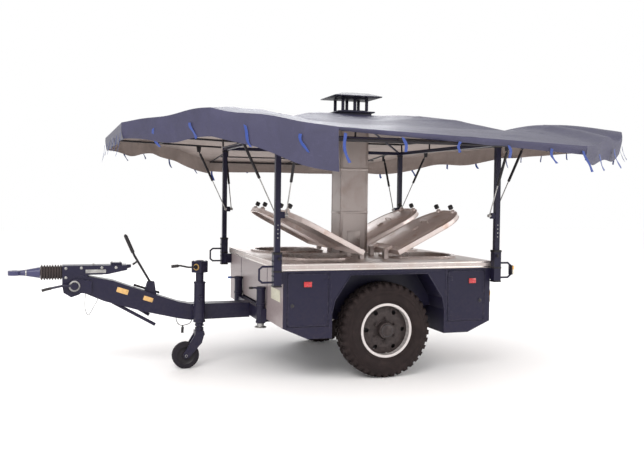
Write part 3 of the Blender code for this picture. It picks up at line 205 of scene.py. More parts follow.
class Finish:
    """A Principled material and the few nodes that a finish is written with."""

    def __init__(self, name, **constants):
        self.material = bpy.data.materials.new(name)
        self.material.use_nodes = True
        self.tree = self.material.node_tree
        self.shader = self.tree.nodes["Principled BSDF"]
        for key, value in constants.items():
            self.shader.inputs[key.replace("_", " ").title().replace("Ior", "IOR")].default_value = value
        self.place = self.node("ShaderNodeTexCoord", out="Object")

    def node(self, kind, settings=None, inputs=None, out=0):
        """Any node: its settings first, then the values or links of its sockets."""
        made = self.tree.nodes.new(kind)
        for key, value in (settings or {}).items():
            if key == "stops":
                for i, (spot, shade) in enumerate(value):
                    stop = made.color_ramp.elements[i] if i < 2 else made.color_ramp.elements.new(spot)
                    stop.position = spot
                    stop.color = (shade, shade, shade, 1) if isinstance(shade, float) else (*shade, 1)
            else:
                setattr(made, key, value)
        for key, value in (inputs or {}).items():
            self.feed(made.inputs[key], value)
        return Value(self.tree, made.outputs[out])

    def feed(self, slot, value):
        """Link a value to a socket, or set a constant on it."""
        if isinstance(value, Value):
            self.tree.links.new(value.socket, slot)
        elif hasattr(value, "__len__") and len(value) == 3 and slot.type == "RGBA":
            slot.default_value = (*value, 1)
        else:
            slot.default_value = value

    def axis(self, name):
        """One coordinate of the place."""
        return self.node("ShaderNodeSeparateXYZ", inputs={"Vector": self.place}, out=name)

    def stretched(self, scale):
        """The place, scaled along each axis."""
        return self.node("ShaderNodeMapping", inputs={"Vector": self.place, "Scale": scale})

    def grain(self, scale, detail=3.0, roughness=0.55, vector=None, distortion=0.0):
        """Cloudy noise at a scale."""
        return self.node("ShaderNodeTexNoise", inputs={
            "Vector": vector or self.place, "Scale": scale, "Detail": detail,
            "Roughness": roughness, "Distortion": distortion})

    def mix(self, share, first, second):
        """Two colours mixed by a share."""
        return self.node("ShaderNodeMix", {"data_type": "RGBA"}, {0: share, 6: first, 7: second}, out=2)

    def edge(self, radius):
        """1 on sharp edges, 0 on flat faces."""
        soft = self.node("ShaderNodeBevel", {"samples": 4}, {"Radius": radius})
        flat = self.node("ShaderNodeNewGeometry", out="Normal")
        along = self.node("ShaderNodeVectorMath", {"operation": "DOT_PRODUCT"}, {0: soft, 1: flat}, out="Value")
        return (1 - along).between(0.01, 0.16)

    def bump(self, height, strength, distance, radius=0.0):
        """A normal from a height, with softened edges if a radius is given."""
        inputs = {"Height": height, "Strength": strength, "Distance": distance}
        if radius:
            inputs["Normal"] = self.node("ShaderNodeBevel", {"samples": 4}, {"Radius": radius})
        return self.node("ShaderNodeBump", inputs=inputs)

    def wear(self, **links):
        """Feed the shader's changing sockets and hand back the material."""
        for key, value in links.items():
            self.feed(self.shader.inputs[key.replace("_", " ").title()], value)
        return self.material


def painted(name, color, roughness=0.36, dust=0.22, coat=0.06, panel=None):
    """Workshop paint: soft orange peel, road dust low down, pale worn edges."""
    look = Finish(name, coat_weight=coat, coat_roughness=0.2, specular_ior_level=0.22)
    broad = look.grain(2.2, 4.0)
    spots = look.grain(38.0, 5.0, 0.7)
    base = look.mix(broad.between(0.35, 0.7) * 0.5, color, [c * 0.72 + 0.004 for c in color])
    if panel:
        front = look.axis("X").below(BODY_LOW.x + 0.002)
        base = look.mix(front, base, panel)
    low = 1 - look.axis("Z").between(0.25, 1.15)
    dirt = (low * spots.between(0.4, 0.75) * dust).least(0.7)
    base = look.mix(dirt, base, (0.085, 0.066, 0.058))
    scuffs = look.edge(0.004) * spots.between(0.45, 0.6)
    base = look.mix(scuffs * 0.55, base, (0.20, 0.19, 0.22))
    peel = look.grain(260.0, 2.0)
    return look.wear(
        base_color=base, roughness=spots * 0.16 + roughness - 0.06 + dirt * 0.4,
        normal=look.bump(peel, 0.05, 0.001, radius=0.003))


def brushed(name, color, direction, roughness=0.30, stain=0.0, metallic=1.0):
    """Brushed stainless steel, with its grain along one direction and a little heat stain."""
    look = Finish(name, metallic=metallic)
    lines = look.grain(1.0, 4.0, 0.7, look.stretched([420.0 if i != direction else 6.0 for i in range(3)]))
    smears = look.grain(3.0, 5.0, 0.6, distortion=0.6)
    base = look.mix(lines * 0.5, color, [c * 0.62 for c in color])
    base = look.mix(smears.between(0.5, 0.8) * 0.55, base, [color[0] * 0.62, color[1] * 0.52, color[2] * 0.46])
    if stain:
        patch = look.grain(5.5, 3.0, 0.5).between(0.60, 0.72)
        base = look.mix(patch * stain, base, (0.42, 0.20, 0.09))
    return look.wear(
        base_color=base, roughness=lines * 0.12 + smears * 0.22 + roughness - 0.16,
        normal=look.bump(lines, 0.10, 0.0006, radius=0.003))


def bare_steel(name, color, roughness=0.38, metallic=0.9):
    """Handled steel: darker in patches, with fine scratches."""
    look = Finish(name)
    patches = look.grain(14.0, 5.0, 0.6)
    fine = look.grain(180.0, 3.0)
    base = look.mix(patches.between(0.4, 0.75), color, [c * 0.45 for c in color])
    return look.wear(
        base_color=base, metallic=(1 - patches.between(0.55, 0.8) * 0.6) * metallic,
        roughness=patches * 0.25 + roughness - 0.1, normal=look.bump(fine, 0.12, 0.001, radius=0.002))


def rubber(name, color, dusty=0.4, scale=1.0):
    """Rubber with a chalky bloom and brown road dust."""
    look = Finish(name, specular_ior_level=0.22)
    bloom = look.grain(9.0 * scale, 5.0, 0.65)
    pores = look.grain(420.0, 2.0)
    base = look.mix(bloom.between(0.42, 0.72) * dusty, color, (0.060, 0.043, 0.040))
    return look.wear(
        base_color=base, roughness=0.72 + bloom * 0.2, normal=look.bump(pores, 0.18, 0.0012))


def wheel_steel():
    """The wheel: dusty grey disc and a bright flange."""
    look = Finish("wheel_steel", specular_ior_level=0.3)
    x, z = look.axis("X") - AXLE_X, look.axis("Z") - AXLE.z
    radius = (x * x + z * z) ** 0.5
    bright = radius.between(0.244, 0.248)
    dirt = look.grain(26.0, 5.0, 0.7)
    disc = look.mix(dirt.between(0.35, 0.7), (0.055, 0.042, 0.041), (0.020, 0.015, 0.015))
    base = look.mix(bright, disc, (0.62, 0.58, 0.57))
    return look.wear(
        base_color=base, roughness=0.42 + dirt * 0.2 - bright * 0.1, metallic=0.15 + bright * 0.1,
        normal=look.bump(dirt, 0.12, 0.002, radius=0.003))


def tarpaulin(name, color, lining=False):
    """Coated cloth: fine weave, soft creases and pale fold marks."""
    look = Finish(name, coat_roughness=0.34, specular_ior_level=0.4)
    weave = look.node("ShaderNodeTexWave", {"wave_type": "BANDS", "bands_direction": "X"},
                      {"Vector": look.place, "Scale": 150.0, "Distortion": 0.6})
    cross = look.node("ShaderNodeTexWave", {"wave_type": "BANDS", "bands_direction": "Y"},
                      {"Vector": look.place, "Scale": 150.0, "Distortion": 0.6})
    folds = look.grain(3.4, 6.0, 0.62, look.stretched((1.0, 2.2, 1.0)), distortion=0.5)
    small = look.grain(21.0, 4.0, 0.6, distortion=0.8)
    pale = [c * 1.45 + 0.01 for c in color]
    base = look.mix(folds.between(0.35, 0.7), color, [c * 0.78 for c in color])
    base = look.mix(small.between(0.58, 0.72) * 0.25, base, pale)
    rough = (0.62 if lining else 0.46) + small * 0.14
    height = weave * cross * 0.10 + folds * 1.2 + small * 0.35
    return look.wear(base_color=base, roughness=rough, coat_weight=0.02 if lining else 0.22,
                     normal=look.bump(height, 0.30 if lining else 0.38, 0.012))


def webbing():
    """Woven tie straps."""
    look = Finish("blue_webbing", sheen_weight=0.3)
    ribs = look.node("ShaderNodeTexWave", {"wave_type": "BANDS", "bands_direction": "Z"},
                     {"Vector": look.place, "Scale": 320.0, "Distortion": 0.3})
    fade = look.grain(24.0, 3.0)
    color = list(bpy.context.scene.trailer_paint.strap)
    base = look.mix(fade.between(0.4, 0.7) * 0.5, color, [color[0] + 0.012, color[1] * 1.7, color[2] * 1.25])
    return look.wear(base_color=base, roughness=0.55 + ribs * 0.2, normal=look.bump(ribs, 0.4, 0.001))


def reflector_red():
    """Moulded reflector with its prism cells."""
    look = Finish("reflector_red", coat_weight=0.8, coat_roughness=0.05)
    cells = look.node("ShaderNodeTexVoronoi", {"feature": "DISTANCE_TO_EDGE"},
                      {"Vector": look.place, "Scale": 190.0}, out="Distance")
    base = look.mix(cells.between(0.0, 0.35), (0.33, 0.004, 0.008), (0.68, 0.012, 0.022))
    return look.wear(base_color=base, roughness=0.22 - cells * 0.1, normal=look.bump(cells, 0.4, 0.002))


def plain(name, color, roughness, metallic=0.0, scale=60.0, **constants):
    """Small parts: one colour with a little grime."""
    look = Finish(name, **constants)
    grime = look.grain(scale, 4.0, 0.6)
    base = look.mix(grime.between(0.45, 0.75) * 0.5, color, [c * 0.55 for c in color])
    return look.wear(base_color=base, roughness=roughness + grime * 0.18 - 0.06,
                     metallic=metallic, normal=look.bump(grime, 0.10, 0.0015, radius=0.0015))


finishes = {}


def make_finishes():
    """Every material of the trailer, by name."""
    paint = bpy.context.scene.trailer_paint
    navy = list(paint.navy)
    steel = list(paint.steel)
    finishes.update({
        "navy": painted("navy_paint", navy),
        "tub": painted("body_paint", navy, roughness=0.34, panel=list(paint.panel)),
        "cap": painted("cap_paint", [c * 0.75 for c in navy], roughness=0.42, dust=0.0),
        "tow": painted("tow_paint", (0.050, 0.050, 0.115), roughness=0.30, dust=0.1, coat=0.2),
        "worktop": brushed("worktop_steel", [c * 0.95 for c in steel], 0, 0.34, metallic=0.85),
        "kettle": brushed("kettle_steel", [c * 1.05 for c in steel], 1, 0.26),
        "lid": brushed("lid_steel", [min(1.0, c * 1.35) for c in steel], 1, 0.36, stain=0.5, metallic=0.72),
        "duct": brushed("duct_steel", [c * 0.70 for c in steel], 2, 0.38),
        "bright": brushed("trim_steel", (0.78, 0.74, 0.70), 0, 0.26),
        "steel": bare_steel("bare_steel", (0.42, 0.41, 0.40)),
        "axle": bare_steel("axle_steel", (0.06, 0.055, 0.06), 0.6, 0.3),
        "black": plain("black_paint", (0.012, 0.010, 0.013), 0.42, specular_ior_level=0.3),
        "plastic": plain("black_plastic", (0.018, 0.016, 0.018), 0.5),
        "tyre": rubber("tyre_rubber", (0.017, 0.011, 0.011), 0.30),
        "small_tyre": rubber("jockey_rubber", (0.016, 0.014, 0.019), 0.15, 2.0),
        "gaiter": rubber("gaiter_rubber", (0.055, 0.045, 0.045), 0.5, 3.0),
        "wheel": wheel_steel(),
        "cloth": tarpaulin("tarpaulin_outside", list(paint.cloth)),
        "lining": tarpaulin("tarpaulin_lining", list(paint.lining), lining=True),
        "strap": webbing(),
        "red": reflector_red(),
        "amber": plain("amber_lens", (0.85, 0.42, 0.10), 0.16, coat_weight=0.8),
        "clear": plain("clear_lens", (0.72, 0.66, 0.55), 0.14, coat_weight=0.9),
        "plate": plain("tan_plate", (0.66, 0.40, 0.145), 0.42, scale=35.0),
        "pale_plate": plain("pale_plate", (0.62, 0.60, 0.48), 0.45, scale=35.0),
        "brass": plain("brass_ring", (0.55, 0.34, 0.12), 0.34, 0.8),
        "grip": plain("grip_rubber", (0.016, 0.013, 0.014), 0.62),
        "blue_lever": plain("blue_lever", (0.10, 0.16, 0.42), 0.4),
    })


# ---- modelling, as by hand ----
def deselect():
    """Select nothing."""
    for item in list(bpy.context.selected_objects):
        item.select_set(False)


def take(piece):
    """Make one piece the only selected and the active one."""
    deselect()
    piece.select_set(True)
    bpy.context.view_layer.objects.active = piece


def settle(piece):
    """Put a piece's place into its mesh."""
    take(piece)
    bpy.ops.object.transform_apply(location=True, rotation=True, scale=True)
    return piece


def linked(name, data):
    """A new object in the scene."""
    piece = bpy.data.objects.new(name, data)
    bpy.context.scene.collection.objects.link(piece)
    return piece


def meshed(name, points, faces, edges=()):
    """A new mesh in the scene."""
    mesh = bpy.data.meshes.new(name)
    mesh.from_pydata(points, edges, faces)
    return linked(name, mesh)


def edited(piece, *steps):
    """Run each step on the whole mesh in edit mode."""
    take(piece)
    bpy.ops.object.mode_set(mode="EDIT")
    for step in steps:
        bpy.ops.mesh.select_all(action="SELECT")
        step()
    bpy.ops.object.mode_set(mode="OBJECT")
    return piece


def face_outward():
    """Turn the selected faces outward."""
    bpy.ops.mesh.normals_make_consistent(inside=False)


def curved(name, points, radius, resolution, closed=False):
    """A round curve through points."""
    curve = bpy.data.curves.new(name, "CURVE")
    curve.dimensions = "3D"
    curve.bevel_depth = radius
    curve.bevel_resolution = resolution
    curve.use_fill_caps = True
    spline = curve.splines.new("POLY")
    spline.points.add(len(points) - 1)
    spline.use_cyclic_u = closed
    for point, spot in zip(spline.points, points):
        point.co = (*spot, 1)
    return linked(name, curve)


def change(piece, kind, **settings):
    """Add a modifier and apply it."""
    step = piece.modifiers.new(kind.title(), kind)
    for key, value in settings.items():
        setattr(step, key, value)
    take(piece)
    bpy.ops.object.modifier_apply(modifier=step.name)
    return piece


def block(low, high, bevel=0.003):
    """A block between two corners, with rounded edges."""
    low, high = Vector(low), Vector(high)
    deselect()
    bpy.ops.mesh.primitive_cube_add(size=1, location=(low + high) / 2)
    piece = bpy.context.object
    piece.scale = [max(abs(c), 1e-4) for c in high - low]
    settle(piece)
    return change(piece, "BEVEL", width=bevel, segments=2, limit_method="ANGLE")


def bar(start, end, radius, sides=16, bevel=0.0015, end_radius=None):
    """A round bar, or a cone, with softened ends."""
    start, end = Vector(start), Vector(end)
    deselect()
    bpy.ops.mesh.primitive_cone_add(
        vertices=sides, radius1=radius, radius2=radius if end_radius is None else end_radius,
        depth=(end - start).length, location=(start + end) / 2,
        rotation=(end - start).to_track_quat("Z", "Y").to_euler())
    piece = settle(bpy.context.object)
    return change(piece, "BEVEL", width=bevel, segments=2, limit_method="ANGLE", angle_limit=math.radians(50))


def ball(centre, radius, flat=1.0):
    """A small dome or rivet head."""
    deselect()
    bpy.ops.mesh.primitive_uv_sphere_add(segments=12, ring_count=6, radius=radius, location=centre)
    piece = bpy.context.object
    piece.scale = (1, flat, 1)
    return settle(piece)


def tube(points, radius, sides=8, closed=False):
    """A bent tube through points."""
    take(curved("tube", points, radius, max(1, sides // 4), closed))
    bpy.ops.object.convert(target="MESH")
    return bpy.context.object


def turned(profile, centre, axis, steps=48):
    """A profile of (radius, height) spun about an axis through a centre."""
    centre, axis = Vector(centre), Vector(axis).normalized()
    across = axis.orthogonal().normalized()
    piece = meshed("turned", [centre + across * r + axis * h for r, h in profile], [],
                   [(i, i + 1) for i in range(len(profile) - 1)])
    return edited(
        piece, lambda: bpy.ops.mesh.spin(steps=steps, angle=2 * math.pi, center=centre, axis=axis),
        lambda: bpy.ops.mesh.remove_doubles(threshold=1e-5), face_outward)


def plate(outline, thickness, bevel=0.002):
    """A flat plate: its outline is a list of points, pushed out by a vector."""
    outline = [Vector(p) for p in outline]
    push = Vector(thickness)
    count = len(outline)
    walls = [(i, (i + 1) % count, (i + 1) % count + count, i + count) for i in range(count)]
    faces = [tuple(range(count)), tuple(range(2 * count - 1, count - 1, -1)), *walls]
    piece = edited(meshed("plate", outline + [p + push for p in outline], faces), face_outward)
    return change(piece, "BEVEL", width=bevel, segments=2, limit_method="ANGLE")


def joined(pieces):
    """Several meshes as one."""
    take(pieces[0])
    for piece in pieces[1:]:
        piece.select_set(True)
    if len(pieces) > 1:
        bpy.ops.object.join()
    return bpy.context.object


def dress(piece, name, finish, body, angle=38):
    """Name a finished piece, give it its finish and let it ride on its body."""
    piece.name = name
    piece.data.name = name
    piece.data.materials.clear()
    for key in ([finish] if isinstance(finish, str) else finish):
        piece.data.materials.append(finishes[key])
    take(piece)
    bpy.ops.object.shade_smooth_by_angle(angle=math.radians(angle))
    if body:
        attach(piece, body)
    return piece


# ---- CAD solids ----
def solid_finishes():
    """Which finish each CAD solid wears."""
    wears = {"axle_beam": "axle", "chassis_frame": "navy", "body_tub": "tub", "worktop": "worktop",
             "chimney_duct": "duct", "chimney_cap": "cap", "canopy_frame": "navy", "canopy_roof": "cloth",
             "drawbar_arm": "navy", "coupling_head": "navy", "tow_shaft": "tow", "shaft_bellows": "gaiter",
             "joint_handle": "navy", "brake_lever": "black", "jockey_tube": "navy", "jockey_leg": "navy",
             "jockey_fork": "navy", "jockey_wheel": "small_tyre", "jockey_crank": "black",
             "brake_cable": "plastic", "light_lead": "plastic", "lead_plug": "plastic"}
    starts = {"tyre_": "tyre", "rim_": "wheel", "door_": "tub", "kettle_": "kettle", "lid_": "lid",
              "flap_": "cloth", "strut_body_": "black", "strut_rod_": "steel", "steady_leg_": "steel"}
    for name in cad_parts:
        if name not in wears:
            wears[name] = next(value for start, value in starts.items() if name.startswith(start))
    return wears


# ---- canopy ----
HINGE_Y = ROOF_HIGH.y + 0.010
HINGE_FRONT = ROOF_LOW.x - 0.010
HINGE_REAR = ROOF_HIGH.x + 0.010
CLOTH_Z = ROOF_LOW.z + 0.0126
HINGE_Z = CLOTH_Z - 0.021
SIDE_LOW, SIDE_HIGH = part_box("flap_left")
NOSE_LOW, NOSE_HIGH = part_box("flap_front")
TAIL_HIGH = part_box("flap_rear")[1]
SIDE_OUT = -SIDE_LOW.y
SIDE_Z = SIDE_LOW.z + 0.108
NOSE_Z = NOSE_HIGH.z + 0.008
TAIL_Z = TAIL_HIGH.z - 0.030
END_Y = NOSE_HIGH.y
ROWS = 26                  # rows of cloth from the hinge line to the outer edge
COLUMNS = 44
HEM_ROWS = 5
RIB = 0.011                # radius of a flap's tube
STRUT_RUN = 0.290          # a strut's upper pin, from the hinge line
LOFT = 0.105               # the cloth's bows over the top frame


def creased(point, amount):
    """The cloth's creases: long soft ones and a few sharp ones, the same wherever two cloths meet."""
    long_fold = noise.noise(Vector((point.x * 1.3 + 4.0, point.y * 1.7, 0.3)))
    cross_fold = noise.noise(Vector((point.x * 3.1 + point.y * 2.3, point.y * 1.1 - point.x * 0.9, 7.1)))
    ridge = 1 - abs(noise.noise(Vector((point.x * 2.4 - point.y * 1.7, point.y * 2.9, 2.6)))) * 2.4
    return amount * (long_fold * 0.9 + cross_fold * 0.5 + max(0.0, ridge) ** 4 * 0.55)


def mean(a, b, share):
    """The place a share of the way from one point to another."""
    return Vector(a).lerp(Vector(b), share)


def canopy_corners(side, end):
    """Post corner, side-flap corner and end-flap corner of one corner of the canopy."""
    post_x = HINGE_FRONT if end < 0 else HINGE_REAR
    flap_x = SIDE_LOW.x if end < 0 else SIDE_HIGH.x
    far_x, far_z = (NOSE_LOW.x, NOSE_Z) if end < 0 else (TAIL_HIGH.x, TAIL_Z)
    raised = 0.080 if side < 0 and end < 0 else 0.0
    return (Vector((post_x, side * HINGE_Y, CLOTH_Z)), Vector((flap_x, side * SIDE_OUT, SIDE_Z + raised)),
            Vector((far_x, side * END_Y, far_z)))


def corner_middle(side, end):
    """The middle of a corner piece's outer edge, which stands a little high."""
    flap, far = canopy_corners(side, end)[1:]
    rise = 0.125 if end < 0 else 0.045
    return (flap + far) / 2 + Vector((end * 0.12, side * 0.12, rise))


def hem(row, drop, outward, wave):
    """Points of a hanging hem below one edge, row by row."""
    rows = []
    for k in range(1, HEM_ROWS + 1):
        share = k / HEM_ROWS
        line = []
        for i, point in enumerate(row):
            depth = drop(i / (len(row) - 1))
            ripple = noise.noise(Vector((point.x * 3.3, point.y * 3.3, share * 0.8 + 5.0)))
            push = 0.010 * math.sin(share * math.pi / 2) - 0.030 * share * share + wave * share * ripple
            bottom = noise.noise(Vector((point.x * 1.9, point.y * 1.9, 9.0))) * 0.10
            line.append(point + outward * push - Vector((0, 0, depth * share * (1 + bottom * share))))
        rows.append(line)
    return rows


def cloth(rows, name, finish=("cloth", "lining")):
    """A grid of points as tarpaulin: smoothed, given its thickness, outside up."""
    width = len(rows[0])
    points = [p for row in rows for p in row]
    faces = []
    for j in range(len(rows) - 1):
        for i in range(width - 1):
            a = j * width + i
            faces.append((a, a + 1, a + width + 1, a + width))
    piece = edited(meshed(name, points, faces), lambda: bpy.ops.mesh.remove_doubles(threshold=1e-4))
    if sum(face.normal.z * face.area for face in piece.data.polygons) < 0:
        edited(piece, bpy.ops.mesh.flip_normals)
    for key in finish:
        piece.data.materials.append(finishes[key])
    change(piece, "SOLIDIFY", thickness=bpy.context.scene.trailer_canopy.thickness, offset=-1,
           material_offset=len(finish) - 1)
    piece.name = name
    bpy.ops.object.shade_smooth_by_angle(angle=math.radians(60))
    return piece


def lofted(out):
    """How high the cloth stands over its tubes between the hinge line (0) and the outer edge (1)."""
    return LOFT * (1 - out) + 0.030 * math.sin(math.pi * out)


def flap_rows(inner_a, inner_b, outer_a, outer_b, ribs, drop, outward):
    """The grid of one flap: from its hinge line over its tubes to its hem."""
    sag = bpy.context.scene.trailer_canopy.sag
    crease = bpy.context.scene.trailer_canopy.crease
    spots = [0.0, *ribs, 1.0]
    rows = []
    for j in range(ROWS + 1):
        out = j / ROWS
        row = []
        for i in range(COLUMNS + 1):
            along = i / COLUMNS
            point = mean(mean(inner_a, inner_b, along), mean(outer_a, outer_b, along), out)
            low, high = next((a, b) for a, b in zip(spots, spots[1:]) if along <= b)
            between = (along - low) / max(high - low, 1e-6)
            rest = math.sin(math.pi * out)
            free = math.sin(math.pi * between) * (high - low) * 2
            point.z += creased(point, crease * rest) - sag * free * rest + lofted(out)
            row.append(point)
        rows.append(row)
    return rows + hem(rows[-1], drop, outward, 0.030)


def corner_rows(post, side_edge, end_edge, drop, outward, puff):
    """The grid of half a corner piece, from the post out to its hem."""
    crease = bpy.context.scene.trailer_canopy.crease
    rows = []
    for j in range(ROWS + 1):
        out = j / ROWS
        row = []
        for i in range(COLUMNS // 2 + 1):
            along = i / (COLUMNS // 2)
            point = mean(post, mean(side_edge, end_edge, along), out)
            rest = math.sin(math.pi * out)
            point.z += creased(point, crease * rest) + lofted(out) + puff(out, along)
            row.append(point)
        rows.append(row)
    return rows + hem(rows[-1], drop, outward, 0.035)


def roof_rows():
    """The grid of the fixed middle, from the flue out to the hinge lines."""
    sag = bpy.context.scene.trailer_canopy.sag
    crease = bpy.context.scene.trailer_canopy.crease
    inner = [(AXLE_X + a * 0.172, b * 0.162) for a, b in ((-1, -1), (1, -1), (1, 1), (-1, 1))]
    outer = [(HINGE_FRONT, -HINGE_Y), (HINGE_REAR, -HINGE_Y), (HINGE_REAR, HINGE_Y), (HINGE_FRONT, HINGE_Y)]
    rows = []
    for j in range(ROWS + 1):
        out = j / ROWS
        row = []
        for k in range(4):
            for i in range(COLUMNS):
                along = i / COLUMNS
                start = mean((*inner[k], 0), (*outer[k], 0), out)
                stop = mean((*inner[(k + 1) % 4], 0), (*outer[(k + 1) % 4], 0), out)
                point = mean(start, stop, along)
                rest = math.sin(math.pi * out)
                height = ROOF_HIGH.z + 0.014 + (CLOTH_Z - ROOF_HIGH.z - 0.014) * out
                point.z = height + LOFT * out + rest * (0.050 - sag * 1.5 * math.sin(math.pi * along))
                point.z += creased(point, crease * rest)
                row.append(point)
        rows.append(row + row[:1])
    return rows


class TRAILER_OT_canopy(bpy.types.Operator):
    """Lay the canopy's cloth over its frame: the middle, four flaps and four corner pieces"""
    bl_idname = "trailer.add_canopy"
    bl_label = "Canopy cloth"

    def execute(self, context):
        roof = cloth(roof_rows(), "roof_cloth")
        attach(roof, "chassis")
        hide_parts("canopy_roof")
        for side_name, side in SIDES:
            front = canopy_corners(side, -1)
            rear = canopy_corners(side, 1)
            rows = flap_rows(front[0], rear[0], front[1], rear[1], (0.06, 0.5, 0.94),
                             lambda share: 0.025 + 0.05 * share if side < 0 else 0.150, Vector((0, side, 0)))
            piece = cloth(rows, "flap_cloth_" + side_name)
            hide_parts("flap_" + side_name)
            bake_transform(piece)
        for end_name, end in ENDS:
            left = canopy_corners(-1, end)
            right = canopy_corners(1, end)
            rows = flap_rows(left[0], right[0], left[2], right[2], (0.04, 0.5, 0.96),
                             lambda share: 0.150, Vector((end, 0, 0)))
            piece = cloth(rows, "flap_cloth_" + end_name)
            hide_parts("flap_" + end_name)
            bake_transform(piece)
        for side_name, side in SIDES:
            for end_name, end in ENDS:
                self.corner(side_name, side, end_name, end)
        return {"FINISHED"}

    def corner(self, side_name, side, end_name, end):
        """One corner piece, in two halves, with gathers in its cloth."""
        post, flap, far = canopy_corners(side, end)
        middle = corner_middle(side, end)
        outward = Vector((end, side, 0)).normalized()
        crumple = 0.045 if end > 0 and side < 0 else 0.012

        def drop(share):
            """Depth of the hem, from the side flap (0) to the end flap (1)."""
            if end > 0:
                return 0.12 + 0.10 * math.sin(math.pi * share) ** 2 + 0.05 * math.sin(9 * share)
            deep = 0.335 if side < 0 else 0.190
            return deep + (0.160 - deep) * share + 0.020 * math.sin(11 * share)

        def puff(out, along):
            """The bulge over the middle of the corner, with its gathers."""
            wide = math.sin(math.pi * along)
            gather = crumple * math.sin(along * 19 + out * 3) * wide * out
            return 0.070 * wide * math.sin(math.pi * min(out * 0.8, 0.5) * 1.25) * (1 - out) + gather

        for half, first, second, start, joint in (
            ("side", flap, middle, 0.0, "flap_" + side_name + "_fold"),
            ("end", middle, far, 0.5, "flap_" + end_name + "_fold"),
        ):
            rows = corner_rows(post, first, second, lambda share: drop(start + share / 2), outward,
                               lambda out, along: puff(out, start + along / 2))
            piece = cloth(rows, "corner_" + end_name + "_" + side_name + "_" + half)
            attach(piece, "chassis")
            near = (first + second) / 2 - post
            area = (first - post).cross(second - post).length / 2 + (first - second).length * 0.24
            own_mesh(piece)


# ---- canopy tubes and straps ----
class TRAILER_OT_flap_frames(bpy.types.Operator):
    """Put the tubes and strut brackets under each flap"""
    bl_idname = "trailer.add_flap_frames"
    bl_label = "Flap frames"

    def execute(self, context):
        for name, way, along_x, line, out, rise, low, high, struts in FLAPS:
            def spot(place, run, up):
                """A place by its distance along the flap, its run from the hinge line and its height."""
                far = way * (line + run)
                if along_x:
                    return Vector((place, far, HINGE_Z + up))
                return Vector((AXLE_X + far, place, HINGE_Z + up))
            slope = rise / out
            pieces = []
            inner = [place + math.copysign(0.0156, (low + high) / 2 - place) for place in struts]
            for place in (inner[0], (low + high) / 2, inner[1]):
                pieces.append(tube([spot(place, 0.016, 0.001), spot(place, out - 0.03, slope * (out - 0.03))],
                                   RIB))
            middle = out * 0.55
            for run, up, inset, radius in (
                (out - 0.03, slope * out, 0.01, RIB), (middle, slope * middle - 0.004, 0.03, RIB * 0.8),
            ):
                pieces.append(tube([spot(low + inset, run, up), spot(high - inset, run, up)], radius))
            head_up = STRUT_RUN * slope - 0.055
            for place, strut in zip(inner, struts):
                side = math.copysign(0.006, strut - place)
                outline = [spot(place - side, 0.270, head_up - 0.02), spot(place - side, 0.310, head_up - 0.02),
                           spot(place - side, 0.320, head_up + 0.05), spot(place - side, 0.260, head_up + 0.05)]
                push = spot(place + side, 0, 0) - spot(place - side, 0, 0)
                pieces.append(plate(outline, push, 0.0015))
                pin = [spot(x, STRUT_RUN, head_up) for x in (place - side, strut + side * 1.2)]
                pieces.append(bar(*pin, 0.0045, 10, 0.001))
            dress(joined(pieces), "flap_frame_" + name, "black", "flap_" + name)
        return {"FINISHED"}


def flap_list():
    """Name, direction, whether it hinges along X, hinge line, run, rise, ends and strut places."""
    found = []
    for name, way in (("left", -1), ("right", 1)):
        low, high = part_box("flap_" + name)
        places = [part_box("strut_rod_" + name + "_" + str(i)) for i in (1, 2)]
        found.append((name, way, True, HINGE_Y, SIDE_OUT - HINGE_Y, SIDE_LOW.z + 0.09 - HINGE_Z,
                      low.x, high.x, [(a.x + b.x) / 2 for a, b in places]))
    for name, way, far in (("front", -1, NOSE_LOW.x), ("rear", 1, TAIL_HIGH.x)):
        low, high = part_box("flap_" + name)
        places = [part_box("strut_rod_" + name + "_" + str(i)) for i in (1, 2)]
        line = way * ((HINGE_FRONT if way < 0 else HINGE_REAR) - AXLE_X)
        top = NOSE_HIGH.z if way < 0 else TAIL_HIGH.z
        found.append((name, way, False, line, way * (far - AXLE_X) - line, top - 0.010 - HINGE_Z,
                      low.y, high.y, [(a.y + b.y) / 2 for a, b in places]))
    return found


FLAPS = flap_list()


def strap(start, along, length, lean, width, lift=0.0):
    """One tie strap: a thin ribbon that hangs from an edge and curls a little."""
    along = Vector(along).normalized()
    points = []
    steps = 9
    for i in range(steps + 1):
        share = i / steps
        curl = math.sin(share * math.pi * 1.1)
        points.append(Vector(start) + Vector(lean) * (share ** 1.5) * length
                      + Vector((0, 0, -length * share * (1 - 0.12 * share) + lift * curl))
                      + along * 0.012 * math.sin(share * 5.0 + start[0] * 7))
    twist = [along * (width / 2) + Vector((0, 0, 0.004 * math.sin(i * 0.9 + start[1] * 5)))
             for i in range(len(points))]
    verts = [p - t for p, t in zip(points, twist)] + [p + t for p, t in zip(points, twist)]
    count = len(points)
    piece = meshed("strap", verts, [(i, i + 1, count + i + 1, count + i) for i in range(count - 1)])
    return change(piece, "SOLIDIFY", thickness=0.0022, offset=0)


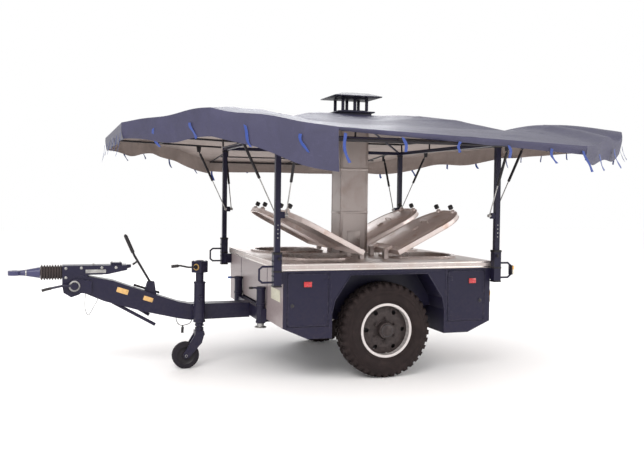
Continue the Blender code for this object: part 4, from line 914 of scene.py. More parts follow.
class TRAILER_OT_straps(bpy.types.Operator):
    """Hang the blue tie straps from the canopy's edges"""
    bl_idname = "trailer.add_straps"
    bl_label = "Tie straps"

    def execute(self, context):
        width = context.scene.trailer_canopy.strap_width
        for side_name, side in SIDES:
            front, rear = canopy_corners(side, -1), canopy_corners(side, 1)
            pieces = []
            for share, length, lean in (
                (0.02, 0.26, 0.1), (0.24, 0.13, 0.2), (0.46, 0.10, -0.2),
                (0.66, 0.12, 0.1), (0.84, 0.14, 0.25), (0.985, 0.20, 0.35),
            ):
                start = mean(front[1], rear[1], share) + Vector((0, side * 0.006, -0.045))
                pieces.append(strap(start, (1, 0.1, 0), length, (lean, side * 0.12, 0), width))
            dress(joined(pieces), "straps_" + side_name, "strap", "flap_" + side_name)
        for end_name, end in ENDS:
            left, right = canopy_corners(-1, end), canopy_corners(1, end)
            pieces = []
            for share, length, lean in (
                (0.01, 0.24, 0.3), (0.2, 0.17, 0.2), (0.4, 0.15, -0.1),
                (0.62, 0.16, 0.2), (0.82, 0.15, 0.1), (0.99, 0.22, -0.2),
            ):
                start = mean(left[2], right[2], share) + Vector((end * 0.008, 0, -0.085))
                pieces.append(strap(start, (0.1, 1, 0), length, (end * 0.15, lean, 0), width))
            dress(joined(pieces), "straps_" + end_name, "strap", "flap_" + end_name)
        for side_name, side in SIDES:
            for end_name, end in ENDS:
                self.corner_straps(side_name, side, end_name, end, width)
        return {"FINISHED"}

    def corner_straps(self, side_name, side, end_name, end, width):
        """Straps along one corner piece's edge."""
        post, flap, far = canopy_corners(side, end)
        middle = corner_middle(side, end)
        outward = Vector((end, side, 0)).normalized()
        for half, first, second, joint, spots in (
            ("side", flap, middle, "flap_" + side_name + "_fold", ((0.28, 0.16), (0.72, 0.20))),
            ("end", middle, far, "flap_" + end_name + "_fold", ((0.2, 0.15), (0.62, 0.18))),
        ):
            pieces = []
            for share, length in spots:
                start = mean(first, second, share) + outward * 0.012 - Vector((0, 0, 0.10))
                pieces.append(strap(start, second - first, length, (0.3, side * 0.1, 0), width))
            piece = dress(joined(pieces), "straps_" + end_name + "_" + side_name + "_" + half, "strap",
                          "chassis")
            near = (first + second) / 2 - post
            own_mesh(piece)


# ---- wheels ----
def tread_block(profile, half_angle):
    """One tread block: a raised patch between two angles, following (radius, y) corners."""
    verts = []
    for lift in (0.0, 1.0):
        for turn in (-half_angle, half_angle):
            for low_r, high_r, y in profile:
                radius = low_r + (high_r - low_r) * lift
                shrink = 1 - 0.10 * lift
                verts.append((radius * math.sin(turn * shrink), y, radius * math.cos(turn * shrink)))
    n = len(profile)
    faces = []
    for i in range(n - 1):
        faces.append((2 * n + i, 2 * n + i + 1, 3 * n + i + 1, 3 * n + i))
        faces.append((i, n + i, n + i + 1, i + 1))
        faces.append((i, i + 1, 2 * n + i + 1, 2 * n + i))
        faces.append((n + i, 3 * n + i, 3 * n + i + 1, n + i + 1))
    faces.append((0, 2 * n, 3 * n, n))
    faces.append((n - 1, 2 * n - 1, 4 * n - 1, 3 * n - 1))
    return verts, faces


class TRAILER_OT_tyres(bpy.types.Operator):
    """Mould the road tyres with their block tread"""
    bl_idname = "trailer.add_tyres"
    bl_label = "Tyres"

    def execute(self, context):
        settings = context.scene.trailer_wheels
        crown = TYRE_RADIUS - settings.depth
        half = TYRE_HALF
        profile = [
            (BEAD_RADIUS, -half + 0.036), (0.272, -half + 0.030), (0.285, -half + 0.016),
            (0.315, -half + 0.004), (0.352, -half + 0.001), (0.388, -half + 0.004),
            (0.420, -half + 0.014), (0.446, -half + 0.028), (crown - 0.004, -half + 0.044),
            (crown, -half + 0.075), (crown + 0.002, 0),
        ]
        profile += [(r, -y) for r, y in reversed(profile[:-1])]
        steps = 96
        for side_name, side in SIDES:
            centre = Vector((AXLE_X, side * AXLE_Y, AXLE.z))
            carcass = turned(profile + [(BEAD_RADIUS + 0.001, 0), profile[0]], centre, (0, side, 0), steps)
            verts, faces = [], []
            kinds = (
                ([(0.425, 0.438, -half + 0.016), (0.446, 0.464, -half + 0.024),
                  (crown - 0.012, TYRE_RADIUS - 0.005, -half + 0.040),
                  (crown - 0.003, TYRE_RADIUS, -half + 0.062),
                  (crown - 0.002, TYRE_RADIUS, -half + 0.098)], 0.0),
                ([(crown - 0.002, TYRE_RADIUS, -0.030), (crown - 0.002, TYRE_RADIUS, -0.004)], 0.55),
            )
            for pitch in range(settings.pitches):
                for outline, shift in kinds:
                    for mirror in (1, -1):
                        block_profile = [(a, b, y * mirror) for a, b, y in outline]
                        offset = shift + (0.5 if mirror < 0 else 0.0)
                        turn = 2 * math.pi * (pitch + offset) / settings.pitches
                        spin = Matrix.Rotation(turn, 3, "Y")
                        more, more_faces = tread_block(block_profile, 0.30 * 2 * math.pi / settings.pitches)
                        base = len(verts)
                        verts += [tuple(spin @ Vector(v) + centre) for v in more]
                        if mirror > 0:
                            more_faces = [tuple(reversed(f)) for f in more_faces]
                        faces += [tuple(base + i for i in f) for f in more_faces]
            tread = edited(meshed("tread", verts, faces), face_outward)
            change(tread, "BEVEL", width=0.0015, segments=1, limit_method="ANGLE")
            ribs = [turned([(r - 0.0022, h - 0.002), (r, h), (r + 0.0022, h - 0.002)], centre, (0, side, 0), 72)
                    for r, h in ((0.300, half - 0.0060), (0.372, half + 0.0006), (0.405, half - 0.0065))]
            tyre = dress(joined([carcass, tread, *ribs]), "tyre_tread_" + side_name, "tyre",
                         "wheel_" + side_name, 30)
            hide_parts("tyre_" + side_name)
        return {"FINISHED"}


class TRAILER_OT_wheel_fittings(bpy.types.Operator):
    """Add the flange ring, hub cap, nut washers and valve of each wheel"""
    bl_idname = "trailer.add_wheel_fittings"
    bl_label = "Wheel fittings"

    def execute(self, context):
        for side_name, side in SIDES:
            centre = Vector((AXLE_X, side * AXLE_Y, AXLE.z))
            out = Vector((0, side, 0))
            lip = TYRE_HALF - 0.035
            flange = [(0.246, lip - 0.004), (0.251, lip + 0.010), (0.262, lip + 0.013), (0.272, lip + 0.011),
                      (0.275, lip + 0.002), (0.268, lip - 0.002), (0.246, lip - 0.004)]
            ring = turned(flange, centre, out, 96)
            dress(ring, "flange_ring_" + side_name, "wheel", "wheel_" + side_name)
            dome = [(0.0, 0.142), (0.030, 0.140), (0.052, 0.134), (0.061, 0.126), (0.063, 0.122)]
            collar = [(0.088, 0.0605), (0.094, 0.066), (0.104, 0.066), (0.106, 0.0605)]
            pieces = [turned(dome, centre, out, 32), turned(collar, centre, out, 48)]
            for i in range(6):
                turn = 2 * math.pi * (i + 0.5) / 6
                spot = centre + Vector((math.cos(turn), 0, math.sin(turn))) * LUG_CIRCLE
                pieces.append(bar(spot + out * 0.060, spot + out * 0.066, 0.020, 20))
                pieces.append(bar(spot + out * 0.080, spot + out * 0.094, 0.008, 12))
            dress(joined(pieces), "hub_cap_" + side_name, "wheel", "wheel_" + side_name)
            shell = [(0.095, -0.084), (0.208, -0.084), (0.214, -0.078), (0.214, -0.012), (0.190, -0.006),
                     (0.120, -0.002)]
            drum = turned(shell, centre, out, 64)
            dress(drum, "brake_drum_" + side_name, "axle", "wheel_" + side_name)
            valve = centre + Vector((0.0, 0, -0.222)) + out * (lip - 0.03)
            stem = bar(valve, valve + out * 0.045, 0.005, 10)
            dress(stem, "valve_" + side_name, "bright", "wheel_" + side_name)
        return {"FINISHED"}


# ---- kitchen ----
def at(x, y, z):
    """A place given from the axle line."""
    return Vector((AXLE_X + x, y, z))


def loop(half_x, half_y, corner, steps=9):
    """Points of a rectangle with round corners, about the origin."""
    points = []
    for sx, sy, first in ((1, 1, 0), (-1, 1, 90), (-1, -1, 180), (1, -1, 270)):
        for i in range(steps + 1):
            turn = math.radians(first + 90 * i / steps)
            points.append((sx * (half_x - corner) + corner * math.cos(turn),
                           sy * (half_y - corner) + corner * math.sin(turn)))
    return points


class TRAILER_OT_worktop_trim(bpy.types.Operator):
    """Add the worktop's riveted apron, the kettles' rolled rims and drain lines"""
    bl_idname = "trailer.add_worktop_trim"
    bl_label = "Worktop trim"

    def execute(self, context):
        low, high = TOP_LOW.z + 0.004, WORKTOP_Z - 0.006
        bands = ((low, low + 0.014), (high - 0.010, high))
        pieces = []
        for side in (-1, 1):
            y = side * TOP_HIGH.y
            pieces += [block((TOP_LOW.x + 0.004, y - side * 0.001, foot),
                             (TOP_HIGH.x - 0.004, y + side * 0.0022, head), 0.0008) for foot, head in bands]
        for x, end in ((TOP_LOW.x, -1), (TOP_HIGH.x, 1)):
            pieces += [block((x - end * 0.001, TOP_LOW.y + 0.004, foot),
                             (x + end * 0.0022, TOP_HIGH.y - 0.004, head), 0.0008) for foot, head in bands]
        middle = (low + high) / 2 + 0.002
        for i in range(13):
            x = TOP_LOW.x + 0.08 + (TOP_HIGH.x - TOP_LOW.x - 0.16) * i / 12
            pieces += [ball((x, side * (TOP_HIGH.y + 0.0005), middle), 0.006, 0.5) for side in (-1, 1)]
            y = TOP_LOW.y + 0.08 + (TOP_HIGH.y - TOP_LOW.y - 0.16) * i / 12
            pieces += [ball((TOP_LOW.x, y, middle), 0.0045), ball((TOP_HIGH.x, y, middle), 0.0045)]
        dress(joined(pieces), "worktop_trim", "bright", "chassis")
        beads = []
        for end in (-1, 1):
            for side in (-1, 1):
                centre = at(KITCHEN_MID + end * KETTLE_OUT, side * KETTLE_SIDE, 0)
                for half_x, height, radius, sides in (
                    (0.408, 0.019, 0.0055, 8), (0.4115, 0.0015, 0.0025, 4), (0.3655, -0.060, 0.003, 4),
                ):
                    line = [centre + Vector((x, y, WORKTOP_Z + height))
                            for x, y in loop(half_x, half_x - 0.050, half_x - 0.100)]
                    beads.append(tube(line, radius, sides, closed=True))
        dress(joined(beads), "kettle_rims", "kettle", "chassis")
        return {"FINISHED"}


class TRAILER_OT_lid_fittings(bpy.types.Operator):
    """Add each lid's pressed panel, rolled edge, knob caps, vent and clamp plates"""
    bl_idname = "trailer.add_lid_fittings"
    bl_label = "Lid fittings"

    def execute(self, context):
        for end_name, end in ENDS:
            for side_name, side in SIDES:
                self.fit(end_name, end, side_name, side)
        return {"FINISHED"}

    def fit(self, end_name, end, side_name, side):
        """One lid: u runs from its pin to its free edge, v across, h up from its face."""
        place = Matrix.Translation(at(KITCHEN_MID + end * LID_PIN[0], side * LID_PIN[1], LID_PIN[2]))
        place = place @ Matrix.Rotation(-end * LID_TILT, 4, "Y")
        top = WORKTOP_Z + 0.022 + 0.003 + 0.050 - LID_PIN[2]
        under = top - 0.050

        def spot(u, v, h):
            """A place on the lid."""
            return place @ Vector((end * u, v, h))

        def ring(inset, h):
            """The lid's outline, set in from its edge."""
            start, stop, half, corner = 0.045 + inset, 0.940 - inset, 0.430 - inset, 0.330 - inset
            points = [spot(start, -half, h)]
            for first, sign in ((-90, -1), (0, 1)):
                for i in range(13):
                    turn = math.radians(first + 90 * i / 12)
                    points.append(spot(stop - corner + corner * math.cos(turn),
                                       sign * (half - corner) + corner * math.sin(turn), h))
            return points + [spot(start, half, h)]

        up = place.to_3x3() @ Vector(UP)
        shell = [tube(ring(0.002, under + 0.004), 0.005, 8, closed=True),
                 tube(ring(0.004, top - 0.002), 0.0045, 8, closed=True),
                 plate(ring(0.075, top - 0.001), up * 0.007, 0.0025),
                 tube(ring(0.040, top), 0.0028, 4, closed=True)]
        for v in (-0.20, 0.20):
            strap_end = [spot(u, v + wide, top) for u, wide in
                         ((0.050, -0.030), (0.120, -0.022), (0.120, 0.022), (0.050, 0.030))]
            shell.append(plate(strap_end, up * 0.003, 0.001))
            shell += [ball(spot(0.100, v + shift, top + 0.003), 0.005) for shift in (-0.013, 0.013)]
        knobs = [spot(0.895, v, top) for v in (-0.170, 0.170)]
        boss = [(0.0, 0.030), (0.020, 0.028), (0.026, 0.020), (0.026, -0.001)]
        shell += [turned(boss, knob, up, 20) for knob in knobs]
        vent = spot(0.49, 0, top + 0.006)
        shell.append(turned([(0.0, 0.020), (0.030, 0.018), (0.040, 0.010), (0.042, 0.0)], vent, up, 28))
        handle = [spot(0.62, v, top + rise) for v, rise in
                  ((-0.08, 0.006), (-0.075, 0.030), (0.075, 0.030), (0.08, 0.006))]
        shell.append(tube(handle, 0.006, 8))
        name = end_name + "_" + side_name
        dress(joined(shell), "lid_pressing_" + name, "lid", "lid_" + name, 50)
        grip = [(0.0, 0.0905), (0.020, 0.090), (0.0255, 0.084), (0.0255, 0.048), (0.019, 0.0435),
                (0.0085, 0.043)]
        caps = [turned(grip, knob, up, 24) for knob in knobs]
        dress(joined(caps), "lid_knobs_" + name, "plastic", "lid_" + name, 50)


class TRAILER_OT_flue_details(bpy.types.Operator):
    """Add the flue's corner seams, bands and rivets, and the bolts of its cap"""
    bl_idname = "trailer.add_flue_details"
    bl_label = "Flue details"

    def execute(self, context):
        half_x, half_y = DUCT_HALF_X, DUCT_HALF_Y
        pieces = []
        for sx in (-1, 1):
            for sy in (-1, 1):
                x, y = AXLE_X + sx * half_x, sy * half_y
                for wide, deep in ((0.028, 0.001), (0.001, 0.028)):
                    pieces.append(block((x - sx * wide, y - sy * deep, 1.19),
                                        (x + sx * 0.0015, y + sy * 0.0015, 2.715), 0.0007))
                for i in range(11):
                    z = 1.26 + i * 0.14
                    pieces.append(ball((x - sx * 0.014, y + sy * 0.0015, z), 0.0042))
                    pieces.append(ball((x + sx * 0.0015, y - sy * 0.014, z), 0.0042))
        for z in (1.620, 2.100):
            for sy in (-1, 1):
                pieces.append(block((AXLE_X - half_x - 0.003, sy * half_y, z),
                                    (AXLE_X + half_x + 0.003, sy * (half_y + 0.003), z + 0.030), 0.001))
            for sx in (-1, 1):
                pieces.append(block((AXLE_X + sx * half_x, -half_y - 0.003, z),
                                    (AXLE_X + sx * (half_x + 0.003), half_y + 0.003, z + 0.030), 0.001))
        for sy in (-1, 1):
            pieces.append(block((AXLE_X - 0.075, sy * half_y, 1.250),
                                (AXLE_X + 0.075, sy * (half_y + 0.004), 1.430), 0.0015))
            catch = [at(0.055, sy * (half_y + reach), 1.340) for reach in (0.002, 0.016)]
            pieces.append(bar(*catch, 0.010, 16))
        feet = ((-0.170, -0.160), (0.170, -0.160), (-0.170, 0.160), (0.170, 0.160), (0, -0.160), (0, 0.160))
        for x, y in feet:
            pieces.append(bar(at(x, y, WORKTOP_Z + 0.011), at(x, y, WORKTOP_Z + 0.020), 0.006, 6))
        dress(joined(pieces), "flue_seams", "duct", "chassis")
        low = DUCT_HIGH.z
        cap = [block(at(-0.185, -0.172, low - 0.030), at(0.185, 0.172, low + 0.022), 0.003),
               block(at(-0.215, -0.200, low + 0.020), at(0.215, 0.200, low + 0.036), 0.003),
               block(at(-0.150, -0.140, low + 0.034), at(0.150, 0.140, low + 0.050), 0.003)]
        for sx in (-1, 0, 1):
            for sy in (-1, 1):
                cap.append(block(at(sx * 0.140 - 0.016, sy * 0.130 - 0.012, low + 0.048),
                                 at(sx * 0.140 + 0.016, sy * 0.130 + 0.012, low + 0.182), 0.003))
                bolt = [at(sx * 0.140, sy * reach, low + 0.070) for reach in (0.141, 0.149)]
                cap.append(bar(*bolt, 0.007, 6))
        cap.append(block(at(-0.155, -0.145, low + 0.176), at(0.155, 0.145, low + 0.190), 0.003))
        eave = [at(x * 0.275, y * 0.260, low + 0.188) for x, y in ((-1, -1), (1, -1), (1, 1), (-1, 1))]
        cap.append(plate(eave, (0, 0, 0.012), 0.002))
        hood = [at(x * 0.272, y * 0.257, low + 0.199) for x, y in ((-1, -1), (1, -1), (1, 1), (-1, 1))]
        hood += [at(x * 0.150, y * 0.140, low + 0.240) for x, y in ((-1, -1), (1, -1), (1, 1), (-1, 1))]
        slopes = [(i, (i + 1) % 4, (i + 1) % 4 + 4, i + 4) for i in range(4)]
        top = meshed("hood", hood, [(3, 2, 1, 0), (4, 5, 6, 7), *slopes])
        cap.append(change(top, "BEVEL", width=0.003, segments=2, limit_method="ANGLE"))
        hood_piece = dress(joined(cap), "cap_hood", "cap", "chassis")
        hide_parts("chimney_cap")
        return {"FINISHED"}


# ---- body ----
class TRAILER_OT_body_fittings(bpy.types.Operator):
    """Add the doors' edges, locks and hinges, the reflectors, plates and rear lamps"""
    bl_idname = "trailer.add_body_fittings"
    bl_label = "Body fittings"

    def execute(self, context):
        for end_name, end in ENDS:
            for side_name, side in SIDES:
                self.door(end_name, end, side_name, side)
        seams = []
        for side in (-1, 1):
            y = side * BODY_HIGH.y
            for x in (-0.618, 0.618):
                seams.append(block((AXLE_X + x - 0.008, y - side * 0.001, 0.700),
                                   (AXLE_X + x + 0.008, y + side * 0.0025, 1.090), 0.001))
            seams.append(block((AXLE_X - 0.560, y - side * 0.001, 1.072),
                               (AXLE_X + 0.560, y + side * 0.003, 1.092), 0.001))
            arch = [at(x, y + side * 0.001, z) for x, z in
                    ((-0.602, 0.690), (-0.577, 0.802), (-0.412, 1.052), (0.412, 1.052), (0.577, 0.802),
                     (0.602, 0.690))]
            seams.append(tube(arch, 0.007, 8))
        for x, end in ((BODY_LOW.x, -1), (BODY_HIGH.x, 1)):
            for y in (-0.60, 0.60):
                low, high = (x - end * 0.001, y - 0.006, 0.70), (x + end * 0.002, y + 0.006, 1.09)
                seams.append(block(low, high, 0.001))
        dress(joined(seams), "body_seams", "navy", "chassis")
        front = BODY_LOW.x
        sign = block((front - 0.004, -1.105, 0.790), (front + 0.001, -0.770, 0.905), 0.001)
        dress(sign, "front_plate", "pale_plate", "chassis")
        rear = BODY_HIGH.x
        for name, finish, inner, outer, low, high in (
            ("rear_lamp_housings", "plastic", 1.010, 1.165, 0.735, 0.865),
            ("rear_lamps_red", "red", 1.018, 1.080, 0.743, 0.857),
            ("rear_lamps_amber", "amber", 1.084, 1.157, 0.803, 0.857),
            ("rear_lamps_clear", "clear", 1.084, 1.157, 0.743, 0.797),
        ):
            deep = 0.022 if finish == "plastic" else 0.034
            parts = [block((rear - 0.001, side * inner, low), (rear + deep, side * outer, high), 0.005)
                     for side in (-1, 1)]
            dress(joined(parts), name, finish, "chassis")
        for name, finish, start, stop, half, low, high, bevel in (
            ("guard_lamps_amber", "amber", 1.336, 1.362, 0.024, 1.078, 1.122, 0.006),
            ("guard_lamps_clear", "clear", 1.336, 1.362, 0.024, 1.030, 1.074, 0.006),
            ("guard_lamp_housings", "black", 1.322, 1.342, 0.028, 1.026, 1.126, 0.004),
        ):
            parts = [block(at(start, side * POST_SIDE - half, low), at(stop, side * POST_SIDE + half, high),
                           bevel)
                     for side in (-1, 1)]
            dress(joined(parts), name, finish, "chassis")
        return {"FINISHED"}

    def door(self, end_name, end, side_name, side):
        """One door's details, on its leaf."""
        body = "door_" + end_name + "_" + side_name
        face = side * BODY_HIGH.y
        near, far = 0.646, 1.049
        strips = []
        for a, b, c, d in (
            (near, far, 0.566, 0.574), (near, far, 1.061, 1.069),
            (near, near + 0.008, 0.566, 1.069), (far - 0.008, far, 0.566, 1.069),
        ):
            strips.append(block((AXLE_X + end * a, face - side * 0.0005, c),
                                (AXLE_X + end * b, face + side * 0.0018, d), 0.0006))
        for z in (0.640, 0.995):
            strips.append(bar(at(end * 0.642, face + side * 0.003, z - 0.030),
                              at(end * 0.642, face + side * 0.003, z + 0.030), 0.0055, 12))
            strips.append(block((AXLE_X + end * 0.646, face, z - 0.022),
                                (AXLE_X + end * 0.690, face + side * 0.0025, z + 0.022), 0.001))
        dress(joined(strips), "door_edges_" + end_name + "_" + side_name, "navy", body)
        lock = at(end * 1.005, face + side * 0.008, 0.765)
        parts = [turned([(0.0, 0.0035), (0.010, 0.003), (0.017, 0.0), (0.021, -0.001)], lock, (0, side, 0), 24),
                 block(lock + Vector((-0.003, side * 0.002, -0.010)),
                       lock + Vector((0.003, side * 0.0055, 0.010)), 0.001)]
        dress(joined(parts), "door_lock_" + end_name + "_" + side_name, "plastic", body)
        x = -0.852 if end < 0 else 0.915
        reflector = block((AXLE_X + x - 0.040, face, 0.943),
                          (AXLE_X + x + 0.040, face + side * 0.009, 0.993), 0.003)
        dress(reflector, "reflector_" + end_name + "_" + side_name, "red", body)
        base = block((AXLE_X + x - 0.046, face, 0.937), (AXLE_X + x + 0.046, face + side * 0.005, 0.999), 0.002)
        dress(base, "reflector_base_" + end_name + "_" + side_name, "black", body)


class TRAILER_OT_frame_fittings(bpy.types.Operator):
    """Add the posts' collars, clamps and pins, the canopy bows, and the steadies' knobs, rings and pads"""
    bl_idname = "trailer.add_frame_fittings"
    bl_label = "Frame fittings"

    def execute(self, context):
        pieces = []
        for end, x in ((-1, POST_FRONT), (1, POST_REAR)):
            for side in (-1, 1):
                y = side * POST_SIDE
                for low, high, half in (
                    (1.262, 1.284, 0.043), (1.095, 1.112, 0.042), (0.956, 0.972, 0.042), (2.330, 2.348, 0.030),
                ):
                    pieces.append(block(at(x - half, y - half, low), at(x + half, y + half, high), 0.003))
                for near, radius, sides in ((0.038, 0.007, 12), (0.050, 0.016, 16)):
                    pieces.append(bar(at(x - end * 0.010, y + side * near, 1.225),
                                      at(x - end * 0.010, y + side * 0.056, 1.225), radius, sides))
                pieces += [bar(at(x + end * 0.038, y + dy, z), at(x + end * 0.044, y + dy, z), 0.007, 6)
                           for dy in (-0.022, 0.022) for z in (1.060, 1.200)]
        dress(joined(pieces), "post_collars", "black", "chassis")
        self.bows()
        pins = []
        for x in (POST_FRONT, POST_REAR):
            for side in (-1, 1):
                for i in range(4):
                    z = 1.42 + i * 0.04
                    pins.append(bar(at(x, side * 1.2685, z), at(x, side * 1.2705, z), 0.006, 12, 0.0005))
        dress(joined(pins), "post_pins", "steel", "chassis")
        for side_name, side in SIDES:
            spot = at(STEADY_X, side * STEADY_SIDE, 0.868)
            knob = bar(spot + Vector((-0.125, 0, 0)), spot + Vector((-0.085, 0, 0)), 0.013, 16, 0.004)
            knob_finish = "plastic" if side < 0 else "blue_lever"
            dress(knob, "steady_knob_" + side_name, knob_finish, "chassis")
            band = [(0.0452, -0.012), (0.050, -0.010), (0.050, 0.010), (0.0452, 0.012)]
            rings = [turned(band, at(STEADY_X, side * STEADY_SIDE, z), UP, 28) for z in (0.520, 0.700, 0.862)]
            dress(joined(rings), "steady_rings_" + side_name, "navy", "chassis")
            foot = [(0.0, -0.0005), (0.060, 0.0), (0.062, 0.006), (0.056, 0.010), (0.050, 0.0105)]
            pad = turned(foot, at(STEADY_X, side * STEADY_SIDE, 0.4603), UP, 32)
            dress(pad, "steady_pad_" + side_name, "steel", "steady_" + side_name)
        return {"FINISHED"}

    def bows(self):
        """The tubes that carry the cloth over the hinge lines, on short uprights."""
        high = CLOTH_Z + LOFT - 0.015
        front, rear, side = HINGE_FRONT + 0.02, HINGE_REAR - 0.02, HINGE_Y - 0.03
        corners = [Vector((x, y, high))
                   for x, y in ((front, -side), (rear, -side), (rear, side), (front, side))]
        pieces = []
        for start, stop in zip(corners, corners[1:] + corners[:1]):
            line = []
            for i in range(13):
                spot = mean(start, stop, i / 12)
                line.append(spot)
                if i in (0, 4, 8):
                    pieces.append(bar((spot.x * 0.999, spot.y * 0.985, CLOTH_Z - 0.015), spot, RIB * 0.9, 10))
            pieces.append(tube(line, RIB))
        dress(joined(pieces), "canopy_bows", "black", "chassis")


# ---- towing gear ----
class TRAILER_OT_tow_fittings(bpy.types.Operator):
    """Add the coupling head's bolts and covers, the arm's plates, its gas spring and grips"""
    bl_idname = "trailer.add_tow_fittings"
    bl_label = "Towing fittings"

    def execute(self, context):
        bolts = []
        for side in (-1, 1):
            face = side * HEAD_SIDE
            for x, z in (
                (-3.050, 1.055), (-3.050, 0.962), (-2.900, 1.058),
                (-2.700, 1.058), (-2.560, 1.058), (-2.905, 0.905),
            ):
                washer = [at(x, face + side * reach, z) for reach in (-0.002, 0.003)]
                bolts.append(bar(*washer, 0.015, 20, 0.001))
                bolts.append(bar(at(x, face, z), at(x, face + side * 0.011, z), 0.010, 6, 0.001))
            cover = [at(x, face, z)
                     for x, z in ((-2.86, 1.005), (-2.66, 1.005), (-2.66, 1.040), (-2.86, 1.040))]
            bolts.append(plate(cover, (0, side * 0.004, 0), 0.001))
        nipple = [(0.0, 0.016), (0.008, 0.015), (0.010, 0.010), (0.010, 0.0)]
        bolts.append(turned(nipple, at(-2.780, 0, 1.080), UP, 16))
        for x, y in ((-2.595, -0.035), (-2.595, 0.035), (-2.515, 0.0)):
            bolts.append(bar(at(x, y, 1.102), at(x, y, 1.1095), 0.009, 6, 0.001))
        dress(joined(bolts), "head_bolts", "steel", "coupling_head", 30)
        fold = ((0.058, 0.0), (0.064, 0.004), (0.0765, 0.0105), (0.0778, 0.0131), (0.0765, 0.0157),
                (0.064, 0.0222))
        step, folds = 0.0262, 8
        profile = [(radius, i * step + along) for i in range(folds) for radius, along in fold]
        length = folds * step - 0.0006
        profile += [(0.058, length), (0.036, length), (0.036, 0.0), (0.058, 0.0)]
        bellows = turned(profile, at(-3.2937, 0, SHAFT_Z), (1, 0, 0), 56)
        dress(bellows, "bellows_folds", "gaiter", "coupling_head", 50)
        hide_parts("shaft_bellows")
        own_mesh(bellows)
        hoop = [(0.0310, 0.0), (0.0335, 0.002), (0.0335, 0.012), (0.0310, 0.014)]
        band = turned(hoop, at(-3.436, 0, SHAFT_Z), (1, 0, 0), 32)
        dress(band, "shaft_band", "steel", "tow_shaft")
        arm = []
        slope = Vector((1, 0, -ARM_SLOPE)).normalized()
        rise = Vector((ARM_SLOPE, 0, 1)).normalized()
        for near, far, high in ((-2.560, -2.440, 0.052), (-2.290, -2.190, 0.046)):
            start = at(near, -0.0905, 0.905 - (near + 2.588) * ARM_SLOPE - 0.085)
            stop = start + slope * (far - near)
            corners = [start, stop, stop + rise * high, start + rise * high]
            arm.append(plate(corners, (0, -0.0025, 0), 0.0008))
            self.plate_rivets(corners)
        dress(joined(arm), "arm_plates", "plate", "chassis")
        spring = [bar(at(-2.360, 0.050, 0.858), at(-2.120, 0.050, 0.778), 0.012, 16),
                  ball(at(-2.360, 0.050, 0.858), 0.014), ball(at(-2.115, 0.050, 0.776), 0.014)]
        dress(joined(spring), "damper", "black", "chassis")
        boss = [(0.040, 0.006), (0.052, 0.006), (0.056, 0.002), (0.056, -0.001)]
        bosses = [turned(boss, at(JOINT_X, side * 0.120, JOINT_Z), (0, side, 0), 40) for side in (-1, 1)]
        for i in range(16):
            turn = 2 * math.pi * i / 16
            spot = at(JOINT_X + math.cos(turn) * 0.0605, 0.1052, JOINT_Z + math.sin(turn) * 0.0605)
            bosses.append(ball(spot, 0.005))
        dress(joined(bosses), "joint_rings", "steel", "chassis")
        sleeve = [at(x, -0.145, z) for x, z in ((-3.190, 0.8655), (-3.235, 0.856), (-3.279, 0.8437))]
        grip = tube(sleeve, 0.0145, 16)
        dress(grip, "joint_handle_grip", "grip", "joint_handle")
        neck, top = at(*LEVER_NECK), at(*LEVER_TOP)
        rings = [bar(neck.lerp(top, 0.22 + i * 0.095), neck.lerp(top, 0.27 + i * 0.095), 0.0195, 20, 0.002)
                 for i in range(8)]
        rings.append(ball(top - Vector((0, 0, 0.002)), 0.0165))
        dress(joined(rings), "lever_grip", "grip", "brake_lever")
        button = bar(neck.lerp(top, 0.995), neck.lerp(top, 1.012), 0.007, 12)
        dress(button, "lever_button", "steel", "brake_lever")
        return {"FINISHED"}

    def plate_rivets(self, corners):
        """A rivet in each corner of a plate on the arm."""
        middle = sum(corners, Vector()) / 4
        heads = [ball(corner.lerp(middle, 0.12) - Vector((0, 0.0025, 0)), 0.003) for corner in corners]
        dress(joined(heads), "plate_rivets", "steel", "chassis")


